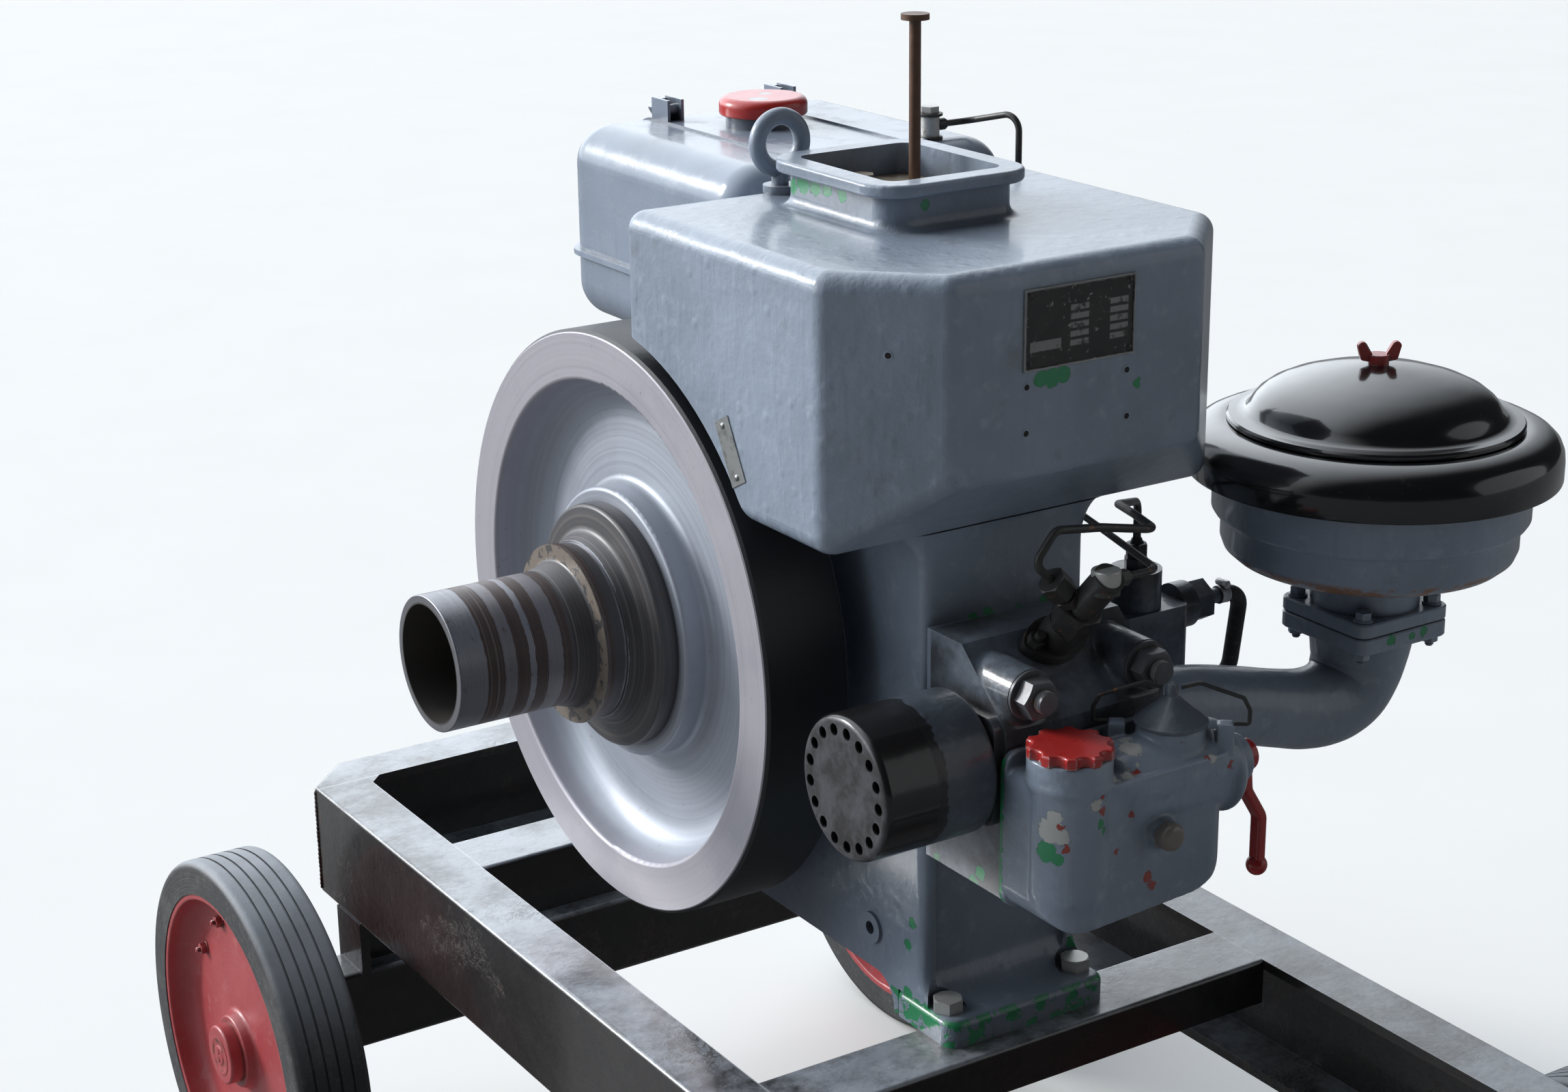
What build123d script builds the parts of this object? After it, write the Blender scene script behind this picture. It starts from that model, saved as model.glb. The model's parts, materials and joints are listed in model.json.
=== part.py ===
from build123d import *
import math
import os

# Stationary horizontal diesel engine bolted to a four-wheeled steel trolley.
# It is drawn from the axis of the hopper's filler neck: X runs along the crankshaft, Y from the
# cylinder head to the fuel tank, Z up from the ground. The last lines move it to the middle of
# its own footprint.

# Trolley wheels and axles
wheel_dia = 400.0
wheel_width = 75.0
wheel_track = 814.0
axle_front_y = -529.0
axle_rear_y = 557.0
axle_beam_width = 56.0
axle_bottom_z = 176.0
axle_top_z = 262.0
axle_edge_r = 6.0
axle_plate_thk = 10.0
axle_pin_dia = 30.0
axle_beam_gap = 7.0
running_gap = 0.05
pin_end_gap = 5.0
hanger_depth = 56.0
tyre_depth = 34.0
disc_recess = 29.0
disc_lip = 6.0
disc_thk = 9.0
disc_rise = 10.0
disc_bowl_r = 24.0
hub_dia = 84.0
hub_reach = 29.5
hub_cap_dia = 62.0
hub_cap_height = 14.0
tread_shoulder_r = 8.0
tread_grooves = 4
tread_groove_depth = 2.0
tread_groove_width = 2.4
tread_groove_spacing = 13.0

# Trolley frame
frame_top_z = 437.0
frame_width = 602.0
frame_front_y = -640.0
frame_rear_y = 668.0
frame_corner_cut = 46.0
channel_depth = 120.0
channel_flange = 55.0
channel_flange_thk = 9.0
channel_web_thk = 7.0
channel_edge_r = 4.0
bearer_width = 70.0
bearer_depth = 42.0
bearer_thk = 7.0
front_bearer_y = -184.0
rear_bearer_y = 382.0

# Crankshaft, flywheel and output tube
crank_y = 174.0
crank_z = 730.0
crank_dia = 60.0
crank_right_reach = 46.0
crank_pin_dia = 12.0
crank_pin_length = 84.0
flywheel_dia = 530.0
flywheel_thk = 82.0
flywheel_face_x = -194.0
flywheel_rim = 45.0
flywheel_web_thk = 22.0
flywheel_dish = 44.0
flywheel_web_rise = 10.0
flywheel_bowl_r = 34.0
flywheel_hub_dia = 245.0
flywheel_hub_face = 8.0
flywheel_edge = 3.5
tube_flange_dia = 161.0
tube_flange_thk = 8.0
tube_flange_gap = 46.0
tube_neck_dia = 160.0
tube_neck_step = 13.0
tube_boss_dia = 220.0
tube_boss_thk = 16.0
tube_bell_out = 5.5
tube_bell_length = 20.0
tube_dia = 121.0
tube_wall = 8.0
tube_reach = 176.0

# Cylinder block
block_half_width = 82.0
block_front_y = -155.0
block_rear_y = 425.0
deck_thk = 5.0
waist_fillet = 36.0
waist_front_out = 7.0
flare_steps = 6
jacket_edge_r = 10.0
recess_depth = 7.0
recess_top_z = 596.0
rib_width = 14.0
bed_arc_r = 28.0
crankcase_front_y = 118.0
crankcase_bottom_z = 466.0
crankcase_top_z = 900.0
crankcase_roof_cut = 60.0
bearing_cover_dia = 200.0
bearing_cover_thk = 22.0
foot_front_y = -197.0
foot_depth = 85.0
foot_thk = 24.0
foot_flare_r = 30.0
foot_edge_r = 7.0
foot_overhang = 2.0
foot_corner_r = 14.0
foot_bolt_spacing = 136.0
foot_bolt_inset = 26.0
foot_bolt_dia = 16.0
foot_bolt_head = 11.0
foot_washer_dia = 34.0
bolt_hole_gap = 1.0
drain_y = -79.0
drain_z = 504.0
drain_dia = 12.0
drain_boss_dia = 28.0
drain_boss_reach = 3.0
drain_depth = 30.0

# Water hopper
hopper_left_x = -189.0
hopper_right_x = 205.0
hopper_front_y = -234.0
hopper_rear_y = 136.0
hopper_bottom_z = 884.0
hopper_top_z = 1111.0
hopper_corner_cut = 73.0
hopper_edge_r = 16.0
hopper_chin_z = 945.0
hopper_chin_back = 72.0
recess_gap = 12.0
neck_size_x = 133.0
neck_size_y = 158.0
neck_height = 40.0
neck_flange_out = 12.0
neck_flange_thk = 11.0
neck_edge_r = 3.0
neck_base_r = 10.0
neck_corner_r = 22.0
neck_wall = 9.0
neck_floor_drop = 26.0
floor_plate_thk = 4.0
floor_plate_gap = 0.5
floor_bolt_x = -6.0
floor_bolt_y = 46.0
floor_bolt_flats = 19.0
floor_bolt_head = 9.0
rod_place_x = 30.0
rod_place_y = 20.0
rod_dia = 10.0
rod_rise = 117.0
rod_head_dia = 24.0
rod_head_thk = 5.0
eye_x = -42.0
eye_y = 118.0
eye_ring_z = 1154.0
eye_outer_dia = 60.0
eye_section = 15.0
eye_collar_dia = 30.0
eye_collar_thk = 7.0
nameplate_left_x = -48.0
nameplate_width = 109.0
nameplate_bottom_z = 1028.0
nameplate_height = 65.0
plate_thk = 1.0
tag_gap = 30.0
tag_bearing = 45.4
tag_length = 56.0
tag_width = 22.0
tag_tilt = 62.0

# Cylinder head
head_half_width = 80.0
head_depth = 102.0
head_bottom_z = 602.0
head_top_z = 803.0
head_flange_thk = 42.0
head_slope_drop = 56.0
stud_spacing = 117.0
stud_z = 775.0
stud_boss_dia = 42.0
stud_blend_r = 8.0
stud_dia = 18.0
stud_reach = 8.0
nut_flats = 30.0
nut_thk = 15.0
washer_thk = 3.0
washer_out = 11.0

# Injector and pipes
injector_base_y = -215.0
injector_length = 105.0
injector_dia = 26.0
injector_flange_length = 66.0
injector_flange_width = 40.0
injector_flange_thk = 10.0
injector_cap_dia = 23.0
injector_cap_height = 20.0
injection_pipe_dia = 7.0
return_pipe_dia = 6.0
return_pipe_out = 19.0
pipe_bend_r = 14.0
pipe_kink = 16.0
pipe_rise = 12.0
pipe_back = 56.0
pipe_level_x = 18.0
pipe_turn_x = 74.0
inlet_dia = 16.0
inlet_reach = 44.0
inlet_place = 0.52
pump_x = 184.0
pump_y = -100.0
pump_left_x = 150.0
pump_right_x = 226.0
pump_depth = 52.0
pump_bottom_z = 640.0
pump_top_z = 752.0
pump_arm_depth = 40.0
pump_arm_height = 60.0
pump_barrel_dia = 46.0
pump_barrel_top_z = 787.0
pump_nut_top_z = 797.0
pump_nut_flats = 19.0
gallery_dia = 42.0
gallery_z = 742.0
gallery_reach = 16.0
gallery_nut_flats = 34.0
gallery_nut_thk = 20.0
cock_dia = 14.0
cock_reach = 16.0
filter_dia = 52.0
filter_bottom_z = 632.0
hose_dia = 15.0
hose_bend_r = 46.0
hose_sag = 132.0
hose_run = 160.0
hose_outlet_x = 190.0
hose_outlet_y = 280.0

# Rocker cover and what it carries
cover_left_x = -86.0
cover_width = 196.0
cover_body_right_x = 93.0
cover_body_top_z = 720.0
cover_sweep_r = 40.0
cover_bulge_dia = 82.0
cover_bulge_left_x = -20.0
cover_flange_out = 2.0
cover_flange_r = 14.0
cover_bottom_z = 600.0
cover_top_z = 735.0
cover_depth = 72.0
cover_flange_thk = 8.0
filler_dia = 62.0
filler_collar_dia = 68.0
filler_collar_height = 24.0
filler_height = 6.0
star_cap_dia = 70.0
star_cap_thk = 9.0
star_edge_r = 2.5
star_points = 10
star_notch_dia = 16.0
star_notch_out = 3.0
cone_x = 51.0
cone_dia = 60.0
cone_height = 26.0
knob_dia = 11.0
knob_height = 9.0
bail_turn = -38.0
bail_wire = 3.6
bail_lug_reach = 43.0
bail_lug_size = 14.0
bail_half_width = 62.0
plug_x = 20.0
plug_z = 664.0
plug_dia = 24.0
plug_reach = 20.0
plug_base = 8.0
lever_z = 694.0
lever_boss_dia = 42.0
lever_boss_reach = 14.0
lever_pin_dia = 12.0
lever_pin_depth = 16.0
lever_hub_dia = 27.0
lever_hub_thk = 12.0
lever_length = 100.0
lever_bend = 14.0
lever_lean = 3.0
lever_gap = 0.5
lever_arm_width = 13.0
lever_arm_thk = 9.0
lever_ball_dia = 18.0

# Exhaust pot
pot_z = 710.0
pot_dia = 120.0
pot_face_x = -200.0
pot_cap_length = 50.0
pot_drum_end_x = -92.0
pot_wall = 4.0
pot_neck_dia = 64.0
pot_flange_size = 92.0
pot_flange_thk = 8.0
pot_flange_r = 10.0
pot_hole_dia = 10.0
pot_hole_ring_dia = 96.0
pot_hole_count = 17
pot_edge_r = 6.0

# Intake elbow and air cleaner
elbow_dia = 70.0
intake_y = -199.0
elbow_z = 689.0
elbow_bend_r = 72.0
elbow_flange = 107.0
port_flange = 76.0
elbow_flange_thk = 18.0
elbow_flange_r = 12.0
cleaner_x = 364.0
cleaner_bowl_dia = 275.0
cleaner_step_in = 8.0
cleaner_brim_dia = 323.0
cleaner_lid_dia = 254.0
cleaner_base_z = 747.0
cleaner_step_z = 799.0
cleaner_lid_height = 58.0
cleaner_brim_z = 843.0
cleaner_brim_height = 64.0
cleaner_brim_r = 38.0
cleaner_brim_drop = 12.0
cleaner_bowl_slope = 22.0
wing_span = 40.0
wing_height = 20.0
wing_thk = 5.0
wing_turn = -30.0
wing_hub_dia = 18.0
wing_hub_height = 9.0

# Fuel tank
tank_left_x = -68.0
tank_right_x = 232.0
tank_front_y = 146.0
tank_rear_y = 462.0
tank_bottom_z = 940.0
tank_height = 185.0
tank_edge_r = 36.0
tank_seam_z = 1003.0
tank_seam_out = 6.0
tank_seam_thk = 5.0
tank_cap_x = 85.0
tank_cap_y = 345.0
tank_cap_dia = 84.0
tank_cap_height = 27.0
tank_neck_height = 10.0
strap_left_x = 19.0
strap_right_x = 146.0
strap_width = 18.0
strap_thk = 2.0
clamp_size = 30.0
clamp_height = 20.0
clamp_wall = 3.0
clamp_bolt_dia = 8.0
banjo_x = 166.0
banjo_y = 188.0
banjo_dia = 18.0
banjo_height = 24.0
side_cover_thk = 28.0
side_cover_front = 130.0
side_cover_rear = 180.0
side_cover_below = 160.0
side_cover_above = 110.0
side_cover_r = 60.0
side_cover_edge_r = 8.0
side_cover_boss_thk = 10.0
side_cover_boss_wall = 20.0
rear_cover_half_width = 62.0
rear_cover_bottom_z = 500.0
rear_cover_top_z = 790.0
rear_cover_thk = 10.0
rear_cover_r = 24.0
rear_cover_edge_r = 3.0

wheel_z = wheel_dia / 2
disc_dia = wheel_dia - 2 * tyre_depth
foot_top_z = frame_top_z + foot_thk
tube_seat_x = flywheel_face_x + flywheel_hub_face
hub_outer = wheel_track / 2 + hub_reach
head_joint_y = block_front_y - deck_thk
head_slope_y = head_joint_y - head_flange_thk
head_front_y = head_joint_y - head_depth
roof_angle = math.degrees(math.atan2(head_slope_drop, head_slope_y - head_front_y))
exhaust_y = (head_joint_y + head_front_y) / 2
cover_joint_y = head_front_y
cover_back_y = cover_joint_y - cover_flange_thk
cover_front_y = cover_back_y - cover_depth
cover_mid_y = (cover_back_y + cover_front_y) / 2
cover_right_x = cover_left_x + cover_width
filler_x = cover_left_x + filler_dia / 2
filler_y = cover_front_y + filler_dia / 2
rim_z = hopper_top_z + neck_height
rod_top_z = rim_z + rod_rise
cleaner_seat_z = cleaner_brim_z + cleaner_brim_height
cleaner_top_z = cleaner_seat_z + cleaner_lid_height
tank_top_z = tank_bottom_z + tank_height
neck_floor_z = rim_z - neck_floor_drop
flywheel_back_x = flywheel_face_x + flywheel_thk

pieces = {}


def box(x0, x1, y0, y1, z0, z1):
    """A block between two corners."""
    return Pos((x0 + x1) / 2, (y0 + y1) / 2, (z0 + z1) / 2) * Box(x1 - x0, y1 - y0, z1 - z0)


def rod_x(dia, x0, x1, y, z):
    """A round bar along X."""
    return Pos((x0 + x1) / 2, y, z) * Rot(0, 90, 0) * Cylinder(dia / 2, x1 - x0)


def rod_y(dia, x, y0, y1, z):
    """A round bar along Y."""
    return Pos(x, (y0 + y1) / 2, z) * Rot(90, 0, 0) * Cylinder(dia / 2, y1 - y0)


def rod_z(dia, x, y, z0, z1):
    """A round bar along Z."""
    return Pos(x, y, (z0 + z1) / 2) * Cylinder(dia / 2, z1 - z0)


def hexagon(flats, height):
    """A hexagonal bar standing on Z = 0, by its size across flats."""
    return extrude(RegularPolygon(flats / math.sqrt(3), 6), height)


def outline(points):
    """A flat face from corner points; a third number rounds that corner."""
    face = make_face(Polyline(*[(p[0], p[1]) for p in points], close=True))
    for point in points:
        if len(point) == 3:
            corner = face.vertices().sort_by_distance((point[0], point[1], 0))[0]
            face = fillet(corner, point[2])
    return face


def nut(flats, height):
    """A hexagon standing on Z = 0, its top corners turned off."""
    corner_r = flats / math.sqrt(3)
    bevel = corner_r - flats / 2
    blank = chamfer(Cylinder(corner_r, height).edges().group_by(Axis.Z)[-1], bevel * 0.6, bevel * 1.1)
    return hexagon(flats, height) & Pos(0, 0, height / 2) * blank


def turned_x(points, y, z):
    """A solid of revolution about an axis along X, from (X, radius) points, some with a rounding."""
    profile = outline([(p[1], p[0], *p[2:]) for p in points])
    return Pos(0, y, z) * Rot(0, 0, -90) * revolve(profile, Axis.Y)


def turned_y(points, x, z):
    """A solid of revolution about an axis along Y, from (Y, radius) points, some with a rounding."""
    return Pos(x, 0, z) * revolve(outline([(p[1], p[0], *p[2:]) for p in points]), Axis.Y)


def turned_z(points, x, y):
    """A solid of revolution about a vertical axis, from (radius, height) points, some with a rounding."""
    return Pos(x, y, 0) * Rot(90, 0, 0) * revolve(outline(points), Axis.Y)


def slab(points, z0, z1):
    """A plate with a plan outline."""
    return Pos(0, 0, z0) * extrude(outline(points), z1 - z0)


def side_plate(points, x0, x1):
    """A solid with a side outline of (Y, Z) points, between two X places."""
    return extrude(Pos(x0, 0, 0) * (Plane.YZ * outline(points)), x1 - x0, dir=(1, 0, 0))


def front_plate(points, y0, y1):
    """A solid with a front outline of (X, Z) points, between two Y places."""
    return extrude(Pos(0, y0, 0) * (Plane.XZ * outline(points)), y1 - y0, dir=(0, 1, 0))


def gather(solids):
    """Like pieces that don't touch, kept together."""
    return Part() + solids


def bent_rod(dia, points, bend_r):
    """A round bar along straight runs joined by tangent arcs."""
    path = FilletPolyline(*points, radius=bend_r)
    section = Plane(origin=path @ 0, z_dir=path % 0) * Circle(dia / 2)
    return sweep(section, path=path)


def foot_bolt_places():
    """Where the four holding-down bolts stand."""
    rows = (foot_front_y + foot_bolt_inset, rear_bearer_y)
    return [(side * foot_bolt_spacing / 2, y) for y in rows for side in (-1, 1)]


def frame_outline(inset):
    """Plan outline of the trolley frame, moved in from its outer edge."""
    half = frame_width / 2 - inset
    front = frame_front_y + inset
    rear = frame_rear_y - inset
    cut = frame_corner_cut - inset * (2 - math.sqrt(2))
    return [(-half, front + cut), (-half, rear - cut), (-half + cut, rear), (half - cut, rear),
            (half, rear - cut), (half, front + cut), (half - cut, front), (-half + cut, front)]


def make_frame():
    """Two long side channels and two end channels, welded into one ring."""
    top = frame_top_z
    bottom = frame_top_z - channel_depth
    ring = slab(frame_outline(0), bottom, top)
    ring = fillet(ring.edges().group_by(Axis.Z)[0] + ring.edges().group_by(Axis.Z)[-1], channel_edge_r)
    ring -= slab(frame_outline(channel_flange), bottom, top)
    ring -= slab(frame_outline(channel_web_thk), bottom + channel_flange_thk, top - channel_flange_thk)
    reach = frame_width
    front_split = frame_front_y + channel_flange
    rear_split = frame_rear_y - channel_flange
    pieces["left_beam"] = ring & box(-reach, 0, front_split, rear_split, bottom, top)
    pieces["right_beam"] = ring & box(0, reach, front_split, rear_split, bottom, top)
    pieces["front_rail"] = ring & box(-reach, reach, front_split - reach, front_split, bottom, top)
    pieces["rear_rail"] = ring & box(-reach, reach, rear_split, rear_split + reach, bottom, top)


def make_bearer(y):
    """A shallow cross channel, web up, welded between the side channels."""
    half = frame_width / 2 - channel_flange
    bottom = frame_top_z - bearer_depth
    y0 = y - bearer_width / 2
    y1 = y + bearer_width / 2
    bearer = box(-half, half, y0, y1, bottom, frame_top_z)
    bearer = fillet(bearer.edges().filter_by(Axis.X).group_by(Axis.Z)[-1], channel_edge_r)
    bearer -= box(-half, half, y0 + bearer_thk, y1 - bearer_thk, bottom, frame_top_z - bearer_thk)
    for bolt_x, bolt_y in foot_bolt_places():
        if y0 < bolt_y < y1:
            bearer -= rod_z(foot_bolt_dia + bolt_hole_gap, bolt_x, bolt_y, bottom, frame_top_z)
    return bearer


def make_axle(y):
    """A deep axle beam with a round pin at each end, hung from both side channels."""
    half = (wheel_track - wheel_width) / 2 - axle_beam_gap
    axle = box(-half, half, y - axle_beam_width / 2, y + axle_beam_width / 2, axle_bottom_z, axle_top_z)
    axle = fillet(axle.edges().filter_by(Axis.X), axle_edge_r)
    pin_end = hub_outer - pin_end_gap
    axle += rod_x(axle_pin_dia, -pin_end, pin_end, y, wheel_z)
    low_z = axle_top_z - axle_edge_r
    top_z = frame_top_z - channel_depth
    reach = frame_width / 2
    axle += box(-reach, reach, y - axle_plate_thk / 2, y + axle_plate_thk / 2, low_z, top_z)
    for x in (-reach, reach - axle_plate_thk):
        axle += box(x, x + axle_plate_thk, y - hanger_depth / 2, y + hanger_depth / 2, low_z, top_z)
    return axle


def tyre_profile():
    """Solid rubber tyre: flat sides, rounded shoulders and fine grooves round the tread."""
    half = wheel_width / 2
    outer = wheel_dia / 2
    rim = disc_dia / 2
    floor = outer - tread_groove_depth
    points = [(-half, rim), (half, rim), (half, outer, tread_shoulder_r)]
    for i in range(tread_grooves):
        centre = ((tread_grooves - 1) / 2 - i) * tread_groove_spacing
        left = centre - tread_groove_width / 2
        right = centre + tread_groove_width / 2
        points += [(right, outer), (right, floor), (left, floor), (left, outer)]
    return points + [(-half, outer, tread_shoulder_r)]


def disc_profile():
    """Pressed wheel disc: a deep bowl that rises to the hub, and a flat dust cap over the bore."""
    half = wheel_width / 2
    rim = disc_dia / 2
    lip = rim - disc_lip
    bowl = half - disc_recess
    hub = hub_dia / 2
    bore = axle_pin_dia / 2 + running_gap
    cap = hub_cap_dia / 2
    cap_end = hub_reach + hub_cap_height
    back = -half + disc_lip
    return [(-half, rim), (-half, lip, 2), (bowl - disc_thk, lip - disc_thk, disc_bowl_r - disc_thk),
            (bowl + disc_rise - disc_thk, hub, 6), (back, hub, 3), (back, bore), (hub_reach, bore),
            (hub_reach, 0), (cap_end, 0), (cap_end, cap, 3), (hub_reach, cap),
            (hub_reach, hub - 5, 3), (bowl + disc_rise, hub, 6), (bowl, lip - 4, disc_bowl_r),
            (half - 1, lip, 2), (half - 1, rim)]


def make_wheel(end, side, y):
    """One wheel: a solid tyre on a pressed disc, turned to face outwards."""
    hand = 1 if side == "right" else -1
    place = Pos(hand * wheel_track / 2, 0, 0)
    pieces["tyre_" + end + "_" + side] = place * turned_x(tyre_profile(), y, wheel_z)
    outward = [(hand * point[0], *point[1:]) for point in disc_profile()]
    pieces["disc_" + end + "_" + side] = place * turned_x(outward, y, wheel_z)


def make_trolley():
    """The welded trolley and its four wheels."""
    make_frame()
    pieces["front_bearer"] = make_bearer(front_bearer_y)
    pieces["rear_bearer"] = make_bearer(rear_bearer_y)
    for end, y in (("front", axle_front_y), ("rear", axle_rear_y)):
        pieces[end + "_axle"] = make_axle(y)
        for side in ("left", "right"):
            make_wheel(end, side, y)


def make_hopper():
    """The hopper: cut front corners, a sloping chin, and every edge well rounded."""
    cut = hopper_corner_cut
    plan = [(hopper_left_x, hopper_rear_y), (hopper_left_x, hopper_front_y + cut),
            (hopper_left_x + cut, hopper_front_y), (hopper_right_x - cut, hopper_front_y),
            (hopper_right_x, hopper_front_y + cut), (hopper_right_x, hopper_rear_y)]
    body = slab(plan, hopper_bottom_z, hopper_top_z)
    body -= side_plate([(hopper_front_y, hopper_chin_z),
                        (hopper_front_y + hopper_chin_back, hopper_bottom_z),
                        (hopper_front_y, hopper_bottom_z)], hopper_left_x, hopper_right_x)
    return fillet(body.edges(), hopper_edge_r)


def make_waist():
    """The hollow flare that carries the jacket's walls out into the hopper's underside."""
    sections = []
    for i in range(flare_steps + 1):
        angle = math.radians(90 * i / flare_steps)
        out = waist_fillet * (1 - math.cos(angle))
        half = block_half_width + out
        front = block_front_y - waist_front_out * (1 - math.cos(angle))
        corner = jacket_edge_r + out * 0.8
        plan = outline([(-half, crankcase_front_y), (-half, front, corner), (half, front, corner),
                        (half, crankcase_front_y)])
        sections.append(Pos(0, 0, hopper_bottom_z - waist_fillet * (1 - math.sin(angle))) * plan)
    return loft(sections)


def make_pedestal():
    """The jacket's front below the head: sunk between two ribs, and flaring down to the foot."""
    sections = []
    half = block_half_width
    back = foot_front_y + foot_depth - 1
    rib = half - rib_width
    for i in range(flare_steps + 1):
        angle = math.radians(90 * i / flare_steps)
        face = block_front_y - foot_flare_r * (1 - math.sin(angle))
        depth = recess_depth * (0.4 + 0.6 * math.sin(angle))
        plan = outline([(-half, back), (-half, face, jacket_edge_r), (-rib, face, depth * 0.4),
                        (-rib, face + depth, depth * 0.5), (rib, face + depth, depth * 0.5),
                        (rib, face, depth * 0.4), (half, face, jacket_edge_r), (half, back)])
        sections.append(Pos(0, 0, foot_top_z + foot_flare_r * (1 - math.cos(angle))) * plan)
    return loft(sections) + extrude(sections[-1], recess_top_z - foot_top_z - foot_flare_r)


def make_neck():
    """The filler neck with its flange."""
    neck = Pos(0, 0, hopper_top_z) * extrude(
        RectangleRounded(neck_size_x, neck_size_y, neck_corner_r), neck_height)
    rim = extrude(RectangleRounded(neck_size_x + 2 * neck_flange_out, neck_size_y + 2 * neck_flange_out,
                                   neck_corner_r + neck_flange_out), neck_flange_thk)
    rim = fillet(rim.edges().group_by(Axis.Z)[0] + rim.edges().group_by(Axis.Z)[-1], neck_edge_r)
    return neck + Pos(0, 0, rim_z - neck_flange_thk) * rim


def neck_mouth(gap):
    """Plan of the neck's mouth, less a gap all round."""
    return RectangleRounded(neck_size_x - 2 * neck_wall - 2 * gap, neck_size_y - 2 * neck_wall - 2 * gap,
                            neck_corner_r - neck_wall - gap)


def make_foot(front, rear):
    """A foot flange with rounded corners and a rounded top edge."""
    half = block_half_width + foot_overhang
    foot = box(-half, half, front, rear, frame_top_z, foot_top_z)
    foot = fillet(foot.edges().filter_by(Axis.Z), foot_corner_r)
    return fillet(foot.edges().group_by(Axis.Z)[-1], foot_edge_r)


def make_casting():
    """Hopper, waist, water jacket, pedestal, crankcase and feet in one."""
    half = block_half_width
    front_foot_rear = foot_front_y + foot_depth
    rear_foot = (rear_bearer_y - foot_depth / 2, rear_bearer_y + foot_depth / 2)
    bed_z = crankcase_bottom_z
    sunk_y = block_front_y + recess_depth
    recess_r = flywheel_dia / 2 + recess_gap
    recess_end = flywheel_back_x + recess_gap
    casting = make_hopper() + make_waist()
    casting -= rod_x(2 * recess_r, hopper_left_x - 1, recess_end, crank_y, crank_z)
    casting += slab([(-half, crankcase_front_y), (-half, block_front_y, jacket_edge_r),
                     (half, block_front_y, jacket_edge_r), (half, crankcase_front_y)],
                    recess_top_z, hopper_bottom_z - waist_fillet)
    casting += side_plate([(sunk_y + foot_flare_r, frame_top_z), (front_foot_rear, frame_top_z),
                           (front_foot_rear, bed_z, bed_arc_r), (crankcase_front_y, bed_z),
                           (crankcase_front_y, recess_top_z), (sunk_y + foot_flare_r, recess_top_z)],
                          -half, half)
    casting += make_pedestal()
    crankcase = side_plate([(crankcase_front_y, bed_z), (rear_foot[0], bed_z), (rear_foot[0], frame_top_z),
                            (block_rear_y - foot_overhang, frame_top_z), (block_rear_y, bed_z),
                            (block_rear_y, crankcase_top_z - crankcase_roof_cut, 20),
                            (block_rear_y - crankcase_roof_cut, crankcase_top_z, 20),
                            (crankcase_front_y, crankcase_top_z)], -half, half)
    casting += crankcase
    casting += box(-head_half_width, head_half_width, head_joint_y, block_front_y, head_bottom_z,
                   head_top_z)
    casting += make_foot(foot_front_y, front_foot_rear) + make_foot(*rear_foot) + make_neck()
    loop = casting.edges().filter_by_position(Axis.Z, hopper_top_z - 0.1, hopper_top_z + 0.1)
    reach = (neck_size_x + neck_size_y) / 4 + 2
    base = [edge for edge in loop if abs(edge.center().X) < reach and abs(edge.center().Y) < reach]
    return fillet(base, neck_base_r)


def make_block():
    """The engine's one casting, with its drilled, bored and machined places."""
    half = block_half_width
    block = make_casting()
    block += rod_x(drain_boss_dia, -half - drain_boss_reach, -half, drain_y, drain_z)
    block -= rod_x(drain_dia, -half - drain_boss_reach, -half - drain_boss_reach + drain_depth, drain_y,
                   drain_z)
    block -= Pos(0, 0, neck_floor_z - floor_plate_thk) * extrude(neck_mouth(0),
                                                                 neck_floor_drop + floor_plate_thk)
    block -= rod_x(crank_dia + 2 * running_gap, -half, half, crank_y, crank_z)
    for x, y in foot_bolt_places():
        block -= rod_z(foot_bolt_dia + bolt_hole_gap, x, y, frame_top_z, foot_top_z)
        block -= rod_z(foot_washer_dia, x, y, foot_top_z, foot_top_z + 2 * foot_bolt_head)
    return block


def make_bolts():
    """Hexagon bolts through the feet and bearers."""
    bolts = []
    for x, y in foot_bolt_places():
        head = Pos(x, y, foot_top_z) * nut(foot_bolt_dia * 1.5, foot_bolt_head)
        bolts.append(head + rod_z(foot_bolt_dia, x, y, frame_top_z - bearer_depth, foot_top_z))
    return gather(bolts)


def make_floor_plate():
    """The plate on the neck's floor with its hexagon bolt, pierced for the level rod."""
    plate = Pos(0, 0, neck_floor_z - floor_plate_thk) * extrude(neck_mouth(floor_plate_gap), floor_plate_thk)
    plate += Pos(floor_bolt_x, floor_bolt_y, neck_floor_z) * hexagon(floor_bolt_flats, floor_bolt_head)
    return plate


def make_level_rod():
    """The water level rod with its flat head."""
    shaft = rod_z(rod_dia, rod_place_x, rod_place_y, neck_floor_z, rod_top_z - rod_head_thk)
    return shaft + rod_z(rod_head_dia, rod_place_x, rod_place_y, rod_top_z - rod_head_thk, rod_top_z)


def make_eye():
    """The lifting eye: a ring on a collared shank."""
    ring_r = (eye_outer_dia - eye_section) / 2
    ring = Pos(eye_x, eye_y, eye_ring_z) * Rot(90, 0, 0) * Torus(ring_r, eye_section / 2)
    shank = rod_z(eye_section, eye_x, eye_y, hopper_top_z, eye_ring_z - ring_r)
    return ring + shank + rod_z(eye_collar_dia, eye_x, eye_y, hopper_top_z, hopper_top_z + eye_collar_thk)


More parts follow.
